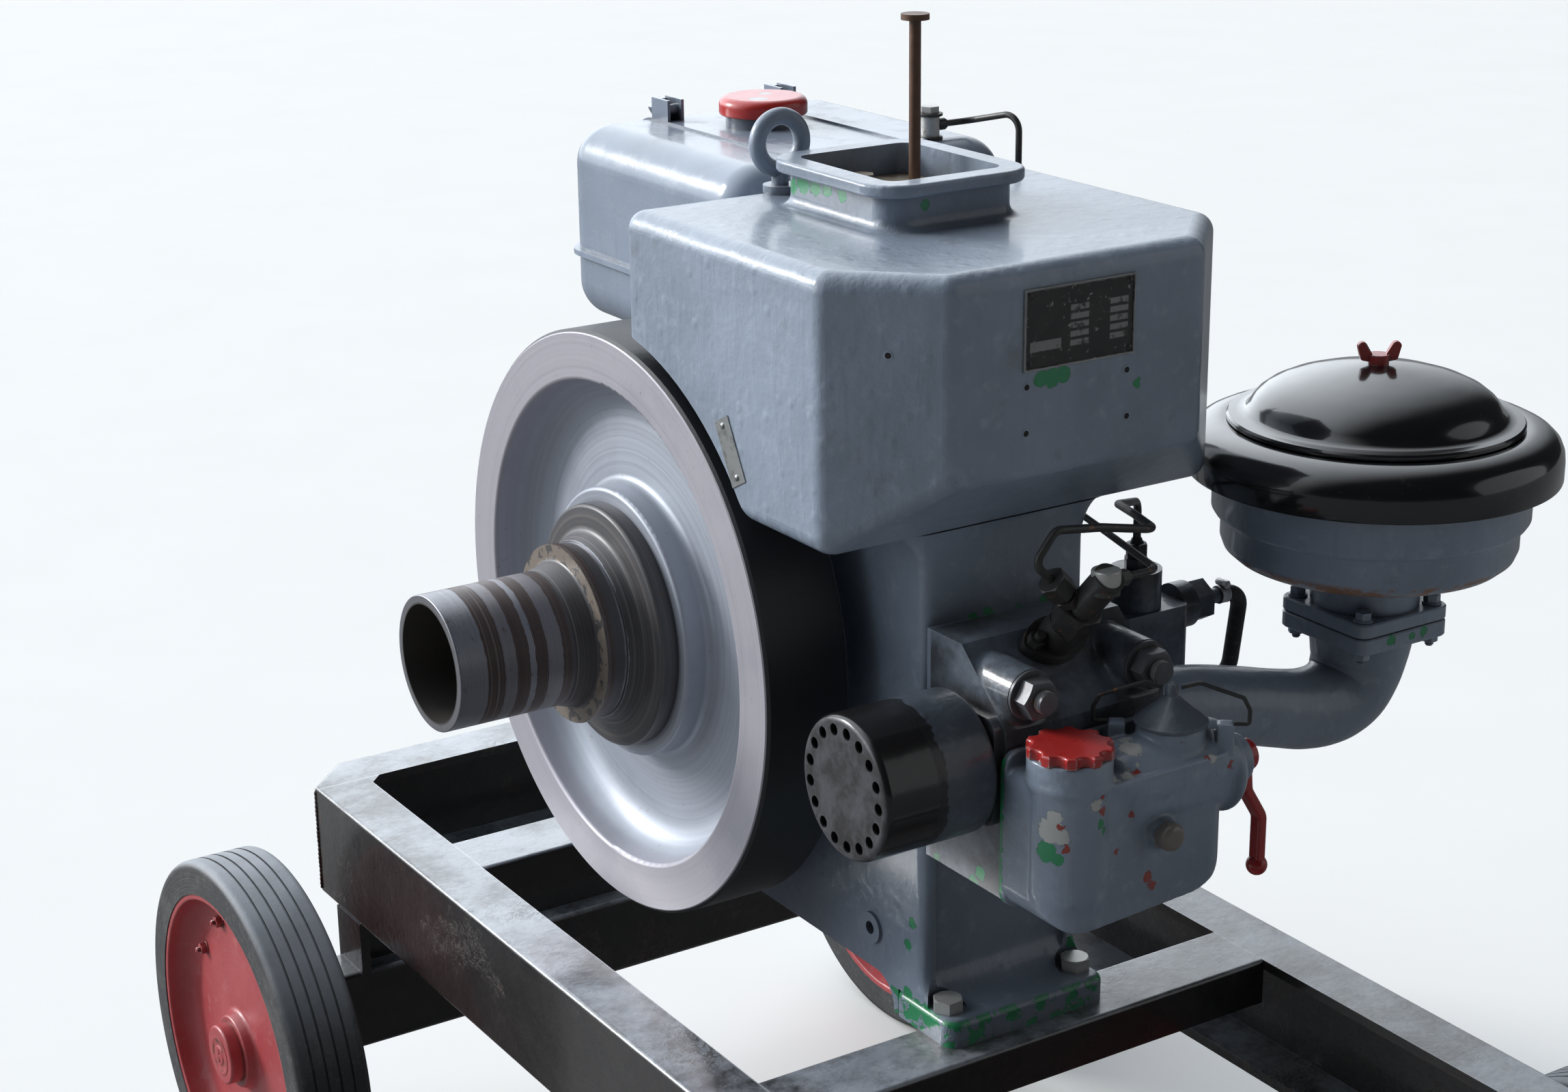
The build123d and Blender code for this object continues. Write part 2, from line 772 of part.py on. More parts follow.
def make_plates():
    """The bare nameplate on the hopper's front and the small tilted tag on its left side."""
    nameplate = box(nameplate_left_x, nameplate_left_x + nameplate_width, hopper_front_y - plate_thk,
                    hopper_front_y, nameplate_bottom_z, nameplate_bottom_z + nameplate_height)
    reach = flywheel_dia / 2 + tag_gap
    y = crank_y - reach * math.cos(math.radians(tag_bearing))
    z = crank_z + reach * math.sin(math.radians(tag_bearing))
    tag = Pos(hopper_left_x - plate_thk / 2, y, z) * Rot(tag_tilt, 0, 0) * Box(
        plate_thk, tag_length, tag_width)
    return gather([nameplate, tag])


def make_bearing_cover():
    """The round main bearing cover on the flywheel side."""
    cover = rod_x(bearing_cover_dia, -block_half_width - bearing_cover_thk, -block_half_width, crank_y,
                  crank_z)
    cover = chamfer(cover.edges().group_by(Axis.X)[0], bearing_cover_thk / 4)
    return cover - rod_x(crank_dia + 2 * running_gap, -block_half_width - bearing_cover_thk,
                         -block_half_width, crank_y, crank_z)


def make_side_cover():
    """The gear cover on the far side, with a boss round the crankshaft's end."""
    x0 = block_half_width
    x1 = x0 + side_cover_thk
    boss_end = x1 + side_cover_boss_thk
    cover = box(x0, x1, crank_y - side_cover_front, crank_y + side_cover_rear,
                crank_z - side_cover_below, crank_z + side_cover_above)
    cover = fillet(cover.edges().filter_by(Axis.X), side_cover_r)
    cover = fillet(cover.edges().group_by(Axis.X)[-1], side_cover_edge_r)
    cover += rod_x(crank_dia + 2 * side_cover_boss_wall, x1, boss_end, crank_y, crank_z)
    return cover - rod_x(crank_dia + 2 * running_gap, x0, boss_end, crank_y, crank_z)


def make_rear_cover():
    """The plate that closes the crankcase's rear."""
    plate = front_plate([(side * rear_cover_half_width, z, rear_cover_r)
                         for side, z in ((-1, rear_cover_bottom_z), (1, rear_cover_bottom_z),
                                         (1, rear_cover_top_z), (-1, rear_cover_top_z))],
                        block_rear_y, block_rear_y + rear_cover_thk)
    return fillet(plate.edges().group_by(Axis.Y)[-1], rear_cover_edge_r)


def make_crankshaft():
    """The crankshaft's straight ends, with the starting handle's cross pin."""
    end = block_half_width + side_cover_thk + crank_right_reach
    shaft = rod_x(crank_dia, tube_seat_x, end, crank_y, crank_z)
    pin_x = end - crank_pin_dia
    return shaft + rod_y(crank_pin_dia, pin_x, crank_y - crank_pin_length / 2,
                         crank_y + crank_pin_length / 2, crank_z)


def make_flywheel():
    """A flywheel with a heavy rim, a bowl-shaped web and a raised hub ring."""
    thk = flywheel_thk
    outer = flywheel_dia / 2
    rim = outer - flywheel_rim
    edge = flywheel_edge
    bowl = flywheel_dish
    rise = bowl - flywheel_web_rise
    back = bowl + flywheel_web_thk
    hub = flywheel_hub_dia / 2
    seat = flywheel_hub_face
    bore = crank_dia / 2 + running_gap
    points = [(0, rim, 4), (bowl, rim - 5, flywheel_bowl_r), (rise, hub + 1, 8), (seat, hub, 4),
              (seat, bore), (thk, bore), (thk, hub - 20, 5), (back, hub - 8, 8), (back, rim - 8, 14),
              (thk, rim, 4), (thk, outer - edge), (thk - edge, outer), (edge, outer), (0, outer - edge)]
    return Pos(flywheel_face_x, 0, 0) * turned_x(points, crank_y, crank_z)


def make_tube():
    """The output tube: a wide boss on the hub, a neck with a thin flange, and an open tube."""
    outer = tube_dia / 2
    inner = outer - tube_wall
    boss = tube_boss_dia / 2
    neck = tube_neck_dia / 2
    step = tube_neck_step
    flange = tube_flange_gap + tube_flange_thk
    end = tube_reach + flywheel_hub_face
    points = [(0, 0), (0, boss), (tube_boss_thk, boss, 4), (tube_boss_thk + 4, neck + 7, 8),
              (tube_flange_gap - step, neck), (tube_flange_gap - step, neck - 1.5),
              (tube_flange_gap, neck - 1.5), (tube_flange_gap, tube_flange_dia / 2),
              (flange, tube_flange_dia / 2), (flange, outer + tube_bell_out, 4),
              (flange + tube_bell_length, outer), (end, outer, 1), (end, inner),
              (tube_boss_thk, inner), (tube_boss_thk, 0)]
    return Pos(tube_seat_x, 0, 0) * turned_x([(-p[0], *p[1:]) for p in points], crank_y, crank_z)


def make_head():
    """The cylinder head: gasket flange, sloping roof and two stud bosses blended into it."""
    head = side_plate([(head_joint_y, head_bottom_z), (head_joint_y, head_top_z),
                       (head_slope_y, head_top_z), (head_front_y, head_top_z - head_slope_drop),
                       (head_front_y, head_bottom_z)], -head_half_width, head_half_width)
    for x in (-stud_spacing / 2, stud_spacing / 2):
        head += rod_y(stud_boss_dia, x, head_front_y, head_slope_y, stud_z)
    return fillet(head.edges().filter_by(GeomType.ELLIPSE), stud_blend_r)


def make_nuts():
    """Stud nuts with washers and stud ends."""
    nuts = []
    for x in (-stud_spacing / 2, stud_spacing / 2):
        washer_y = head_front_y - washer_thk
        end_y = washer_y - nut_thk - stud_reach
        washer = rod_y(nut_flats + washer_out, x, washer_y, head_front_y, stud_z)
        hexagon_nut = Pos(x, washer_y, stud_z) * Rot(90, 0, 0) * nut(nut_flats, nut_thk)
        nuts.append(washer + hexagon_nut + rod_y(stud_dia, x, end_y, head_front_y, stud_z))
    return gather(nuts)


def injector_seat():
    """Where the injector stands on the head's sloping roof."""
    seat_z = head_top_z - (head_slope_y - injector_base_y) * math.tan(math.radians(roof_angle))
    slope = math.radians(roof_angle)
    return Plane(origin=(0, injector_base_y, seat_z), x_dir=(1, 0, 0),
                 z_dir=(0, -math.sin(slope), math.cos(slope))).location


def injector_point(along):
    """A point on the injector's axis, a distance out from its seat."""
    return (injector_seat() * Pos(0, 0, along)).position


def make_injector():
    """The injector: a lens-shaped flange with two nuts, stepped body, side inlet and round cap."""
    lens_r = (injector_flange_length ** 2 + injector_flange_width ** 2) / (4 * injector_flange_width)
    shift = lens_r - injector_flange_width / 2
    lens = [Pos(0, side * shift, injector_flange_thk / 2) * Cylinder(lens_r, injector_flange_thk)
            for side in (-1, 1)]
    flange = lens[0] & lens[1]
    flange = fillet(flange.edges().filter_by(Axis.Z), 6)
    collar_z = injector_length * 0.32
    body = Pos(0, 0, injector_length / 2) * Cylinder(injector_dia / 2, injector_length)
    collar = Pos(0, 0, collar_z) * nut(injector_dia + 6, injector_length * 0.24)
    shoulder = Pos(0, 0, collar_z / 2) * Cylinder(injector_dia / 2 + 4, collar_z)
    injector = flange + body + collar + shoulder
    for side in (-1, 1):
        place = Pos(side * injector_flange_length * 0.34, 0, injector_flange_thk)
        injector += place * nut(13, 8) + place * Pos(0, 0, 7) * Cylinder(4, 14)
    injector = injector_seat() * injector
    inlet = injector_point(injector_length * inlet_place)
    toward = Vector(-1, 0, 1).normalized()
    injector += Plane(origin=inlet, z_dir=toward).location * Pos(0, 0, inlet_reach / 2) * Cylinder(
        inlet_dia / 2, inlet_reach)
    for along, flats, length in ((inlet_reach - 18, inlet_dia + 6, 18), (inlet_reach - 30, inlet_dia + 3, 8)):
        injector += Plane(origin=inlet + toward * along, z_dir=toward).location * nut(flats, length)
    tip = injector_point(injector_length - injector_dia / 4)
    cap = rod_z(injector_cap_dia, 0, tip.Y, tip.Z - injector_cap_height / 2, tip.Z + injector_cap_height / 2)
    return injector + fillet(cap.edges().group_by(Axis.Z)[-1], 3)


def make_injection_pipe():
    """The high-pressure pipe from the pump up under the hopper and round to the injector."""
    inlet = injector_point(injector_length * inlet_place)
    step = inlet_reach / math.sqrt(2)
    x = inlet.X - step
    y = inlet.Y
    z = inlet.Z + step
    high_z = hopper_bottom_z + pipe_rise
    points = [(x, y, z), (x - pipe_kink, y, z + pipe_kink), (x + pipe_kink / 4, y, high_z + pipe_rise / 2),
              (pipe_level_x, y, high_z), (pipe_turn_x, y, high_z - pipe_rise),
              (pipe_turn_x + 2 * pipe_rise, y + pipe_back, high_z - 1.5 * pipe_rise),
              (pump_x - pipe_back, y + 2 * pipe_back, high_z - 2.5 * pipe_rise),
              (pump_x, pump_y, high_z - 4 * pipe_rise), (pump_x, pump_y, pump_nut_top_z)]
    wide = 1.4 * pipe_bend_r
    small = 0.7 * pipe_bend_r
    return bent_rod(injection_pipe_dia, points, [small, small, wide, wide, pipe_bend_r, wide, pipe_bend_r])


def make_return_pipe():
    """The return pipe from the injector's cap past the block and up to the tank's banjo."""
    tip = injector_point(injector_length - injector_dia / 4)
    up_x = hopper_right_x + return_pipe_out
    up_y = hopper_rear_y - return_pipe_out / 3
    low_z = tip.Z - return_pipe_dia
    banjo_z = tank_top_z + banjo_height / 2
    points = [(injector_dia / 2, tip.Y, tip.Z), (2 * injector_dia, tip.Y, tip.Z),
              (pipe_turn_x + return_pipe_out, head_joint_y, low_z),
              (up_x - 5 * return_pipe_out, up_y / -6, low_z),
              (up_x, up_y, tip.Z + return_pipe_out), (up_x, up_y, banjo_z + pipe_bend_r),
              (up_x - pipe_bend_r, banjo_y, banjo_z), (banjo_x + banjo_dia / 2, banjo_y, banjo_z)]
    return bent_rod(return_pipe_dia, points, pipe_bend_r)


def make_pump():
    """The injection pump on the block's far side: housing, barrel, fuel gallery and cock."""
    y0 = pump_y - pump_depth / 2
    y1 = pump_y + pump_depth / 2
    pump = box(pump_left_x, pump_right_x, y0, y1, pump_bottom_z, pump_top_z)
    pump = fillet(pump.edges().filter_by(Axis.Z), 8)
    pump += box(block_half_width, pump_left_x, pump_y - pump_arm_depth / 2, pump_y + pump_arm_depth / 2,
                pump_top_z - pump_arm_height, pump_top_z)
    pump += rod_z(pump_barrel_dia, pump_x, pump_y, pump_top_z, pump_barrel_top_z)
    pump += Pos(pump_x, pump_y, pump_barrel_top_z) * hexagon(pump_nut_flats,
                                                             pump_nut_top_z - pump_barrel_top_z)
    nut_x = pump_right_x + gallery_reach
    cock_x = nut_x + gallery_nut_thk
    pump += rod_x(gallery_dia, pump_right_x, nut_x, pump_y, gallery_z)
    pump += Pos(nut_x, pump_y, gallery_z) * Rot(0, 90, 0) * hexagon(gallery_nut_flats, gallery_nut_thk)
    pump += rod_x(cock_dia, cock_x, cock_x + cock_reach, pump_y, gallery_z)
    return pump


def make_filter():
    """The fuel filter bowl behind the pump's housing."""
    y = pump_y + (pump_depth + filter_dia) / 2
    x = pump_right_x - filter_dia / 2
    bowl = rod_z(filter_dia, x, y, filter_bottom_z, pump_top_z)
    bowl = fillet(bowl.edges().group_by(Axis.Z)[0], 8)
    return bowl + rod_z(18, x, y, filter_bottom_z - 10, filter_bottom_z)


def make_hose():
    """The rubber fuel hose from the pump's cock round and up to the tank's outlet."""
    x = pump_right_x + gallery_reach + gallery_nut_thk + cock_reach
    low = gallery_z - hose_sag
    rise = tank_bottom_z - low
    points = [(x, pump_y, gallery_z), (x + 2 * hose_dia, pump_y, gallery_z),
              (x + 3 * hose_dia, pump_y + 2 * hose_dia, low + 2 * hose_dia),
              (x + 2 * hose_dia, pump_y + hose_run, low),
              (hose_outlet_x + 4 * hose_dia, crank_y, low + rise / 4),
              (hose_outlet_x, hose_outlet_y, tank_bottom_z - rise / 3),
              (hose_outlet_x, hose_outlet_y, tank_bottom_z)]
    return bent_rod(hose_dia, points, [hose_bend_r / 2, hose_bend_r, 1.8 * hose_bend_r, 2 * hose_bend_r,
                                       1.3 * hose_bend_r])


def make_cover_body():
    """The rocker cover's box: a round left end, a bulge along its top and a swept-up right corner."""
    x0 = cover_left_x
    x1 = cover_body_right_x
    front = cover_front_y
    plan = slab([(x0, cover_back_y), (x0, front, filler_dia / 2), (x1, front, 20), (x1, cover_back_y)],
                cover_bottom_z, cover_body_top_z)
    side = front_plate([(x0, cover_bottom_z, 20), (x1, cover_bottom_z, cover_sweep_r),
                        (x1, cover_body_top_z, 12), (x0, cover_body_top_z, 10)], front, cover_back_y)
    body = plan & side
    bulge = rod_x(cover_bulge_dia, cover_bulge_left_x, cover_right_x, cover_mid_y, lever_z)
    bulge = fillet(bulge.edges(), cover_bulge_dia / 4)
    return body + (bulge & box(x0, cover_right_x, front - cover_bulge_dia, cover_back_y, cover_bottom_z,
                               cover_top_z))


def make_cover():
    """Rocker cover with its filler neck, breather seat, bail lugs, plug and lever boss."""
    top = cover_top_z + filler_height
    low = cover_bottom_z - cover_flange_out
    high = cover_top_z - cover_flange_out
    flange = front_plate([(cover_left_x, low, cover_flange_r), (cover_body_right_x, low, cover_flange_r),
                          (cover_body_right_x, high, cover_flange_r), (cover_left_x, high, cover_flange_r)],
                         cover_back_y, cover_joint_y)
    cover = make_cover_body() + flange
    neck = filler_dia / 2
    collar = filler_collar_dia / 2
    collar_z = top - filler_collar_height
    cover += turned_z([(0, collar_z - neck), (neck, collar_z - neck), (neck, collar_z - 4),
                       (collar, collar_z + 2, 2), (collar, top, 1), (0, top)], filler_x, filler_y)
    cover += rod_z(cone_dia - 4, cone_x, cover_mid_y, lever_z, top)
    for side in (-1, 1):
        lug = Pos(side * bail_lug_reach, 0, 0) * Box(bail_lug_size, bail_lug_size, 2 * bail_lug_size)
        cover += Pos(cone_x, cover_mid_y, cover_top_z - bail_lug_size / 2) * Rot(0, 0, bail_turn) * lug
    cover += rod_x(lever_boss_dia, cover_body_right_x, cover_right_x + lever_boss_reach, cover_mid_y, lever_z)
    cover -= rod_x(lever_pin_dia + 2 * running_gap, cover_right_x + lever_boss_reach - lever_pin_depth,
                   cover_right_x + lever_boss_reach, cover_mid_y, lever_z)
    plug = plug_dia / 2
    front = cover_front_y
    return cover + turned_y([(front + 2, 0), (front + 2, plug + 4), (front - plug_base, plug),
                             (front - plug_reach, plug, plug / 2), (front - plug_reach, 0)], plug_x, plug_z)


def make_star_cap():
    """A scalloped screw cap."""
    z0 = cover_top_z + filler_height
    cap = rod_z(star_cap_dia, filler_x, filler_y, z0, z0 + star_cap_thk)
    ring = star_cap_dia / 2 + star_notch_out
    for i in range(star_points):
        angle = 2 * math.pi * i / star_points
        cap -= rod_z(star_notch_dia, filler_x + ring * math.cos(angle), filler_y + ring * math.sin(angle),
                     z0, z0 + star_cap_thk)
    return fillet(cap.edges().group_by(Axis.Z)[-1], star_edge_r)


def make_cone_cap():
    """The breather's conical cap with its knob."""
    z0 = cover_top_z + filler_height
    r = cone_dia / 2
    knob = knob_dia / 2
    top = z0 + cone_height
    return turned_z([(0, z0), (r - 1, z0), (r, z0 + 1), (r, z0 + 3), (knob, top - 3), (knob, top),
                     (knob - 1.5, top + knob_height - 2), (0, top + knob_height)], cone_x, cover_mid_y)


def make_bail():
    """The wire bail that holds the breather's cap down: a loop each side of the knob."""
    wires = []
    half = bail_half_width
    knob = (knob_dia + bail_wire) / 2
    top = cover_top_z + filler_height + cone_height
    low = cover_top_z + filler_height
    lug = bail_lug_reach + bail_lug_size / 2
    for side in (-1, 1):
        points = [(side * knob, 0, top + 4), (side * 22, 0, top + 8), (side * (half - 5), 0, top - 4),
                  (side * half, 0, top - 14), (side * half, 0, low), (side * lug, 0, low)]
        wires.append(Pos(cone_x, cover_mid_y, 0) * Rot(0, 0, bail_turn) * bent_rod(
            bail_wire, points, [6, 4, 4, 2.5]))
    return gather(wires)


def make_lever():
    """The decompression lever: a pinned flat boss, a bent arm and a ball."""
    x0 = cover_right_x + lever_boss_reach + lever_gap
    y = cover_mid_y
    hub = rod_x(lever_hub_dia, x0, x0 + lever_hub_thk, y, lever_z)
    hub = fillet(hub.edges().group_by(Axis.X)[-1], 3)
    pin = rod_x(lever_pin_dia, x0 - lever_pin_depth, x0, y, lever_z)
    mid_x = x0 + lever_hub_thk / 2
    out_x = mid_x + lever_bend
    points = [(mid_x, y, lever_z), (mid_x, y - lever_lean, lever_z - lever_length * 0.3),
              (out_x, y - 2 * lever_lean, lever_z - lever_length * 0.55),
              (out_x, y - 2 * lever_lean, lever_z - lever_length)]
    path = FilletPolyline(*points, radius=lever_bend)
    section = Plane(origin=path @ 0, x_dir=(0, 1, 0), z_dir=path % 0) * RectangleRounded(
        lever_arm_width, lever_arm_thk, 3)
    return hub + pin + sweep(section, path=path) + Pos(*points[-1]) * Sphere(lever_ball_dia / 2)


def make_pot():
    """Exhaust pot: a drum on a flanged neck, and its perforated cap."""
    y = exhaust_y
    flange_x = -head_half_width - pot_flange_thk
    joint = pot_face_x + pot_cap_length
    bore = pot_dia / 2 - pot_wall
    outer = pot_dia / 2
    neck = pot_neck_dia / 2
    pieces["exhaust_pot"] = turned_x(
        [(joint, bore), (joint, outer), (pot_drum_end_x, outer, pot_edge_r), (pot_drum_end_x, neck),
         (flange_x, neck), (flange_x, 0), (pot_drum_end_x - pot_wall, 0), (pot_drum_end_x - pot_wall, bore)],
        y, pot_z)
    half = pot_flange_size / 2
    flange = box(flange_x, -head_half_width, y - half, y + half, pot_z - half, pot_z + half)
    pieces["exhaust_pot"] += fillet(flange.edges().filter_by(Axis.X), pot_flange_r)
    cap = turned_x([(joint, bore), (joint, outer), (pot_face_x, outer, pot_edge_r), (pot_face_x, 0),
                    (pot_face_x + pot_wall, 0), (pot_face_x + pot_wall, bore)], y, pot_z)
    for i in range(pot_hole_count):
        angle = 2 * math.pi * (i + 0.5) / pot_hole_count
        hole_y = y + pot_hole_ring_dia / 2 * math.cos(angle)
        hole_z = pot_z + pot_hole_ring_dia / 2 * math.sin(angle)
        cap -= rod_x(pot_hole_dia, pot_face_x, pot_face_x + pot_wall, hole_y, hole_z)
    pieces["exhaust_cap"] = cap


def square_flange(size, thk):
    """A square flange with rounded corners, standing on Z = 0."""
    return extrude(RectangleRounded(size, size, elbow_flange_r), thk)


def make_elbow():
    """The intake elbow from the head's far side up to the air cleaner."""
    thk = elbow_flange_thk
    top_z = cleaner_base_z - thk
    pipe = bent_rod(elbow_dia, [(head_half_width, intake_y, elbow_z), (cleaner_x, intake_y, elbow_z),
                                (cleaner_x, intake_y, top_z)], min(elbow_bend_r, top_z - elbow_z - 1))
    pipe += Pos(head_half_width, intake_y, elbow_z) * Rot(0, 90, 0) * square_flange(port_flange, thk)
    return pipe + Pos(cleaner_x, intake_y, top_z - thk) * square_flange(elbow_flange, thk)


def make_wing_nut():
    """The lid's wing nut: a hub and two raised wings."""
    hub = rod_z(wing_hub_dia, cleaner_x, intake_y, cleaner_top_z, cleaner_top_z + wing_hub_height)
    half = wing_span / 2
    inner = wing_hub_dia / 2 - 3
    for side in (-1, 1):
        wing = front_plate([(side * inner, 2), (side * half * 0.8, 4, 3), (side * half, wing_height, 4),
                            (side * half * 0.62, wing_height, 4), (side * inner, wing_hub_height)],
                           -wing_thk / 2, wing_thk / 2)
        hub += Pos(cleaner_x, intake_y, cleaner_top_z) * Rot(0, 0, wing_turn) * wing
    return hub


def make_cleaner():
    """Oil-bath air cleaner: bowl on its flange, brim, domed lid and wing nut."""
    bowl_r = cleaner_bowl_dia / 2
    low_r = bowl_r - cleaner_step_in
    z0 = cleaner_base_z
    y = intake_y
    seat = cleaner_seat_z
    bowl = turned_z(
        [(0, z0), (low_r * 0.72, z0), (low_r, z0 + cleaner_bowl_slope, 25), (low_r, cleaner_step_z - 6, 6),
         (bowl_r, cleaner_step_z + 6, 6), (bowl_r, cleaner_brim_z), (0, cleaner_brim_z)], cleaner_x, y)
    pieces["cleaner_bowl"] = bowl + Pos(cleaner_x, y, z0 - elbow_flange_thk) * square_flange(
        elbow_flange, elbow_flange_thk)
    brim_r = cleaner_brim_dia / 2
    lid_r = cleaner_lid_dia / 2
    pieces["cleaner_brim"] = turned_z(
        [(0, cleaner_brim_z), (brim_r, cleaner_brim_z, 3), (brim_r, seat - cleaner_brim_drop, cleaner_brim_r),
         (lid_r + 3, seat - 2), (lid_r + 3, seat), (0, seat)], cleaner_x, y)
    pieces["cleaner_lid"] = turned_z(
        [(0, seat), (lid_r - 3, seat), (lid_r - 3, seat + 2), (lid_r, seat + 2), (lid_r, seat + 6, 1.5),
         (lid_r - 15, seat + 7, 8), (lid_r * 0.83, seat + cleaner_lid_height * 0.36, 14),
         (lid_r * 0.5, seat + cleaner_lid_height * 0.82, 60), (wing_hub_dia / 2, cleaner_top_z),
         (0, cleaner_top_z)], cleaner_x, y)
    pieces["wing_nut"] = make_wing_nut()


def tank_form(grow):
    """The tank's rounded body, grown outwards by a thickness."""
    body = box(tank_left_x - grow, tank_right_x + grow, tank_front_y - grow, tank_rear_y + grow,
               tank_bottom_z - grow, tank_top_z + grow)
    return fillet(body.edges(), tank_edge_r + grow)


def make_tank():
    """Fuel tank with its seam and filler neck."""
    seam = Pos((tank_left_x + tank_right_x) / 2, (tank_front_y + tank_rear_y) / 2, tank_seam_z) * extrude(
        RectangleRounded(tank_right_x - tank_left_x + 2 * tank_seam_out,
                         tank_rear_y - tank_front_y + 2 * tank_seam_out, tank_edge_r + tank_seam_out),
        tank_seam_thk)
    neck = rod_z(tank_cap_dia - 12, tank_cap_x, tank_cap_y, tank_top_z, tank_top_z + tank_neck_height)
    return tank_form(0) + seam + neck


def make_tank_cap():
    """The tank's flanged screw cap."""
    r = tank_cap_dia / 2
    z0 = tank_top_z + tank_neck_height
    z1 = tank_top_z + tank_cap_height
    return turned_z([(0, z0), (r, z0, 2), (r, z1, 8), (0, z1)], tank_cap_x, tank_cap_y)


def make_clamp(x):
    """A band's clamp: two cheeks, a roller and the tightening bolt with its nut."""
    y1 = tank_rear_y - tank_edge_r
    y0 = y1 - clamp_size
    z0 = tank_top_z
    roller_z = z0 + clamp_height / 2 + strap_thk
    clamp = rod_x(clamp_height / 2, x - strap_width / 2, x + strap_width / 2, y0 + clamp_height / 2, roller_z)
    clamp += rod_y(clamp_bolt_dia, x, y0 + clamp_height / 2, y1 + clamp_size / 2, roller_z)
    clamp += Pos(x, y1, roller_z) * Rot(-90, 0, 0) * nut(2 * clamp_bolt_dia, clamp_bolt_dia)
    clamp += box(x - strap_width / 2, x + strap_width / 2, y1 - clamp_wall, y1, z0, roller_z + clamp_bolt_dia)
    for side in (-1, 1):
        edge = x + side * strap_width / 2
        clamp += box(min(edge, edge - side * clamp_wall), max(edge, edge - side * clamp_wall), y0, y1, z0,
                     z0 + strap_thk + clamp_height)
    return clamp


def make_straps():
    """Two steel bands over the tank, each with a clamp at its rear end."""
    straps = []
    skin = tank_form(strap_thk) - tank_form(0)
    low = tank_seam_z + tank_seam_thk
    for x in (strap_left_x, strap_right_x):
        band = skin & box(x - strap_width / 2, x + strap_width / 2, tank_front_y - 10, tank_rear_y + 10,
                          low, tank_top_z + 10)
        straps.append(band + make_clamp(x))
    return gather(straps)


def make_banjo():
    """The return pipe's banjo fitting on the tank's roof."""
    fitting = rod_z(banjo_dia, banjo_x, banjo_y, tank_top_z, tank_top_z + banjo_height)
    return fitting + Pos(banjo_x, banjo_y, tank_top_z + banjo_height) * hexagon(banjo_dia - 2, 6)


def make_saddle():
    """The cradle between the crankcase roof and the tank."""
    return box(tank_left_x + tank_edge_r, block_half_width, tank_front_y + tank_edge_r,
               block_rear_y - crankcase_roof_cut, crankcase_top_z, tank_bottom_z)


make_trolley()
pieces["cylinder_block"] = make_block()
pieces["foot_bolts"] = make_bolts()
pieces["bearing_cover"] = make_bearing_cover()
pieces["side_cover"] = make_side_cover()
pieces["rear_cover"] = make_rear_cover()
pieces["neck_floor"] = make_floor_plate()
pieces["level_rod"] = make_level_rod()
pieces["lifting_eye"] = make_eye()
pieces["hopper_plates"] = make_plates()
pieces["flywheel"] = make_flywheel()
pieces["output_tube"] = make_tube()
pieces["crankshaft"] = make_crankshaft()
pieces["cylinder_head"] = make_head()
pieces["head_nuts"] = make_nuts()
pieces["injector"] = make_injector()
pieces["injection_pipe"] = make_injection_pipe()
pieces["return_pipe"] = make_return_pipe()
pieces["injection_pump"] = make_pump()
pieces["fuel_filter"] = make_filter()
pieces["fuel_hose"] = make_hose()
pieces["rocker_cover"] = make_cover()
pieces["star_cap"] = make_star_cap()
pieces["cone_cap"] = make_cone_cap()
pieces["cap_bail"] = make_bail()
pieces["decompression_lever"] = make_lever()
make_pot()
pieces["intake_elbow"] = make_elbow()
make_cleaner()
pieces["fuel_tank"] = make_tank()
pieces["tank_cap"] = make_tank_cap()
pieces["tank_straps"] = make_straps()
pieces["tank_banjo"] = make_banjo()
pieces["tank_saddle"] = make_saddle()

boxes = [piece.bounding_box() for piece in pieces.values()]
middle_x = (min(b.min.X for b in boxes) + max(b.max.X for b in boxes)) / 2
middle_y = (min(b.min.Y for b in boxes) + max(b.max.Y for b in boxes)) / 2

os.makedirs("parts", exist_ok=True)
for name, piece in pieces.items():
    export_step(Pos(-middle_x, -middle_y, 0) * piece, os.path.join("parts", name + ".step"))
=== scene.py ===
import json
import math
import bmesh
import bpy
from mathutils import Matrix, Vector


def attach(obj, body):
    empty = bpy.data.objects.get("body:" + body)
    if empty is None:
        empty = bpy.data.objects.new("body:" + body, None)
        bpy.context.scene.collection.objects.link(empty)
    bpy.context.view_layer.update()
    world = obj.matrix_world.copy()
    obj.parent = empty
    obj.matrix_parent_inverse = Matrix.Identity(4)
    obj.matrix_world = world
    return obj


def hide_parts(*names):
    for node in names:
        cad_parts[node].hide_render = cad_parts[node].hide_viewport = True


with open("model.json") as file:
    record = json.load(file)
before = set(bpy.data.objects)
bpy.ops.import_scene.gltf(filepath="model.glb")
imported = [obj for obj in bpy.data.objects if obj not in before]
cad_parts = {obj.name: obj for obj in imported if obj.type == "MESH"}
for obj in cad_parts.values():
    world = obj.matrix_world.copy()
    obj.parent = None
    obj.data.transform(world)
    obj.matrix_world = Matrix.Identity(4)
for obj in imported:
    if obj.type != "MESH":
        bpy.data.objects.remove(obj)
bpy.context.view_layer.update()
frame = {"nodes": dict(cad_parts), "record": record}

# The engine's own datum, the axis of the hopper's filler neck, in the row frame
datum_x = -0.0375
datum_y = -0.014

# Camera, from the paving under the machine
camera_x = -1.307
camera_y = -1.864
camera_height = 1.580
camera_azimuth = 32.537
camera_pitch = 18.579
camera_roll = -0.694
camera_lens = 63.46
sensor_width = 36.0

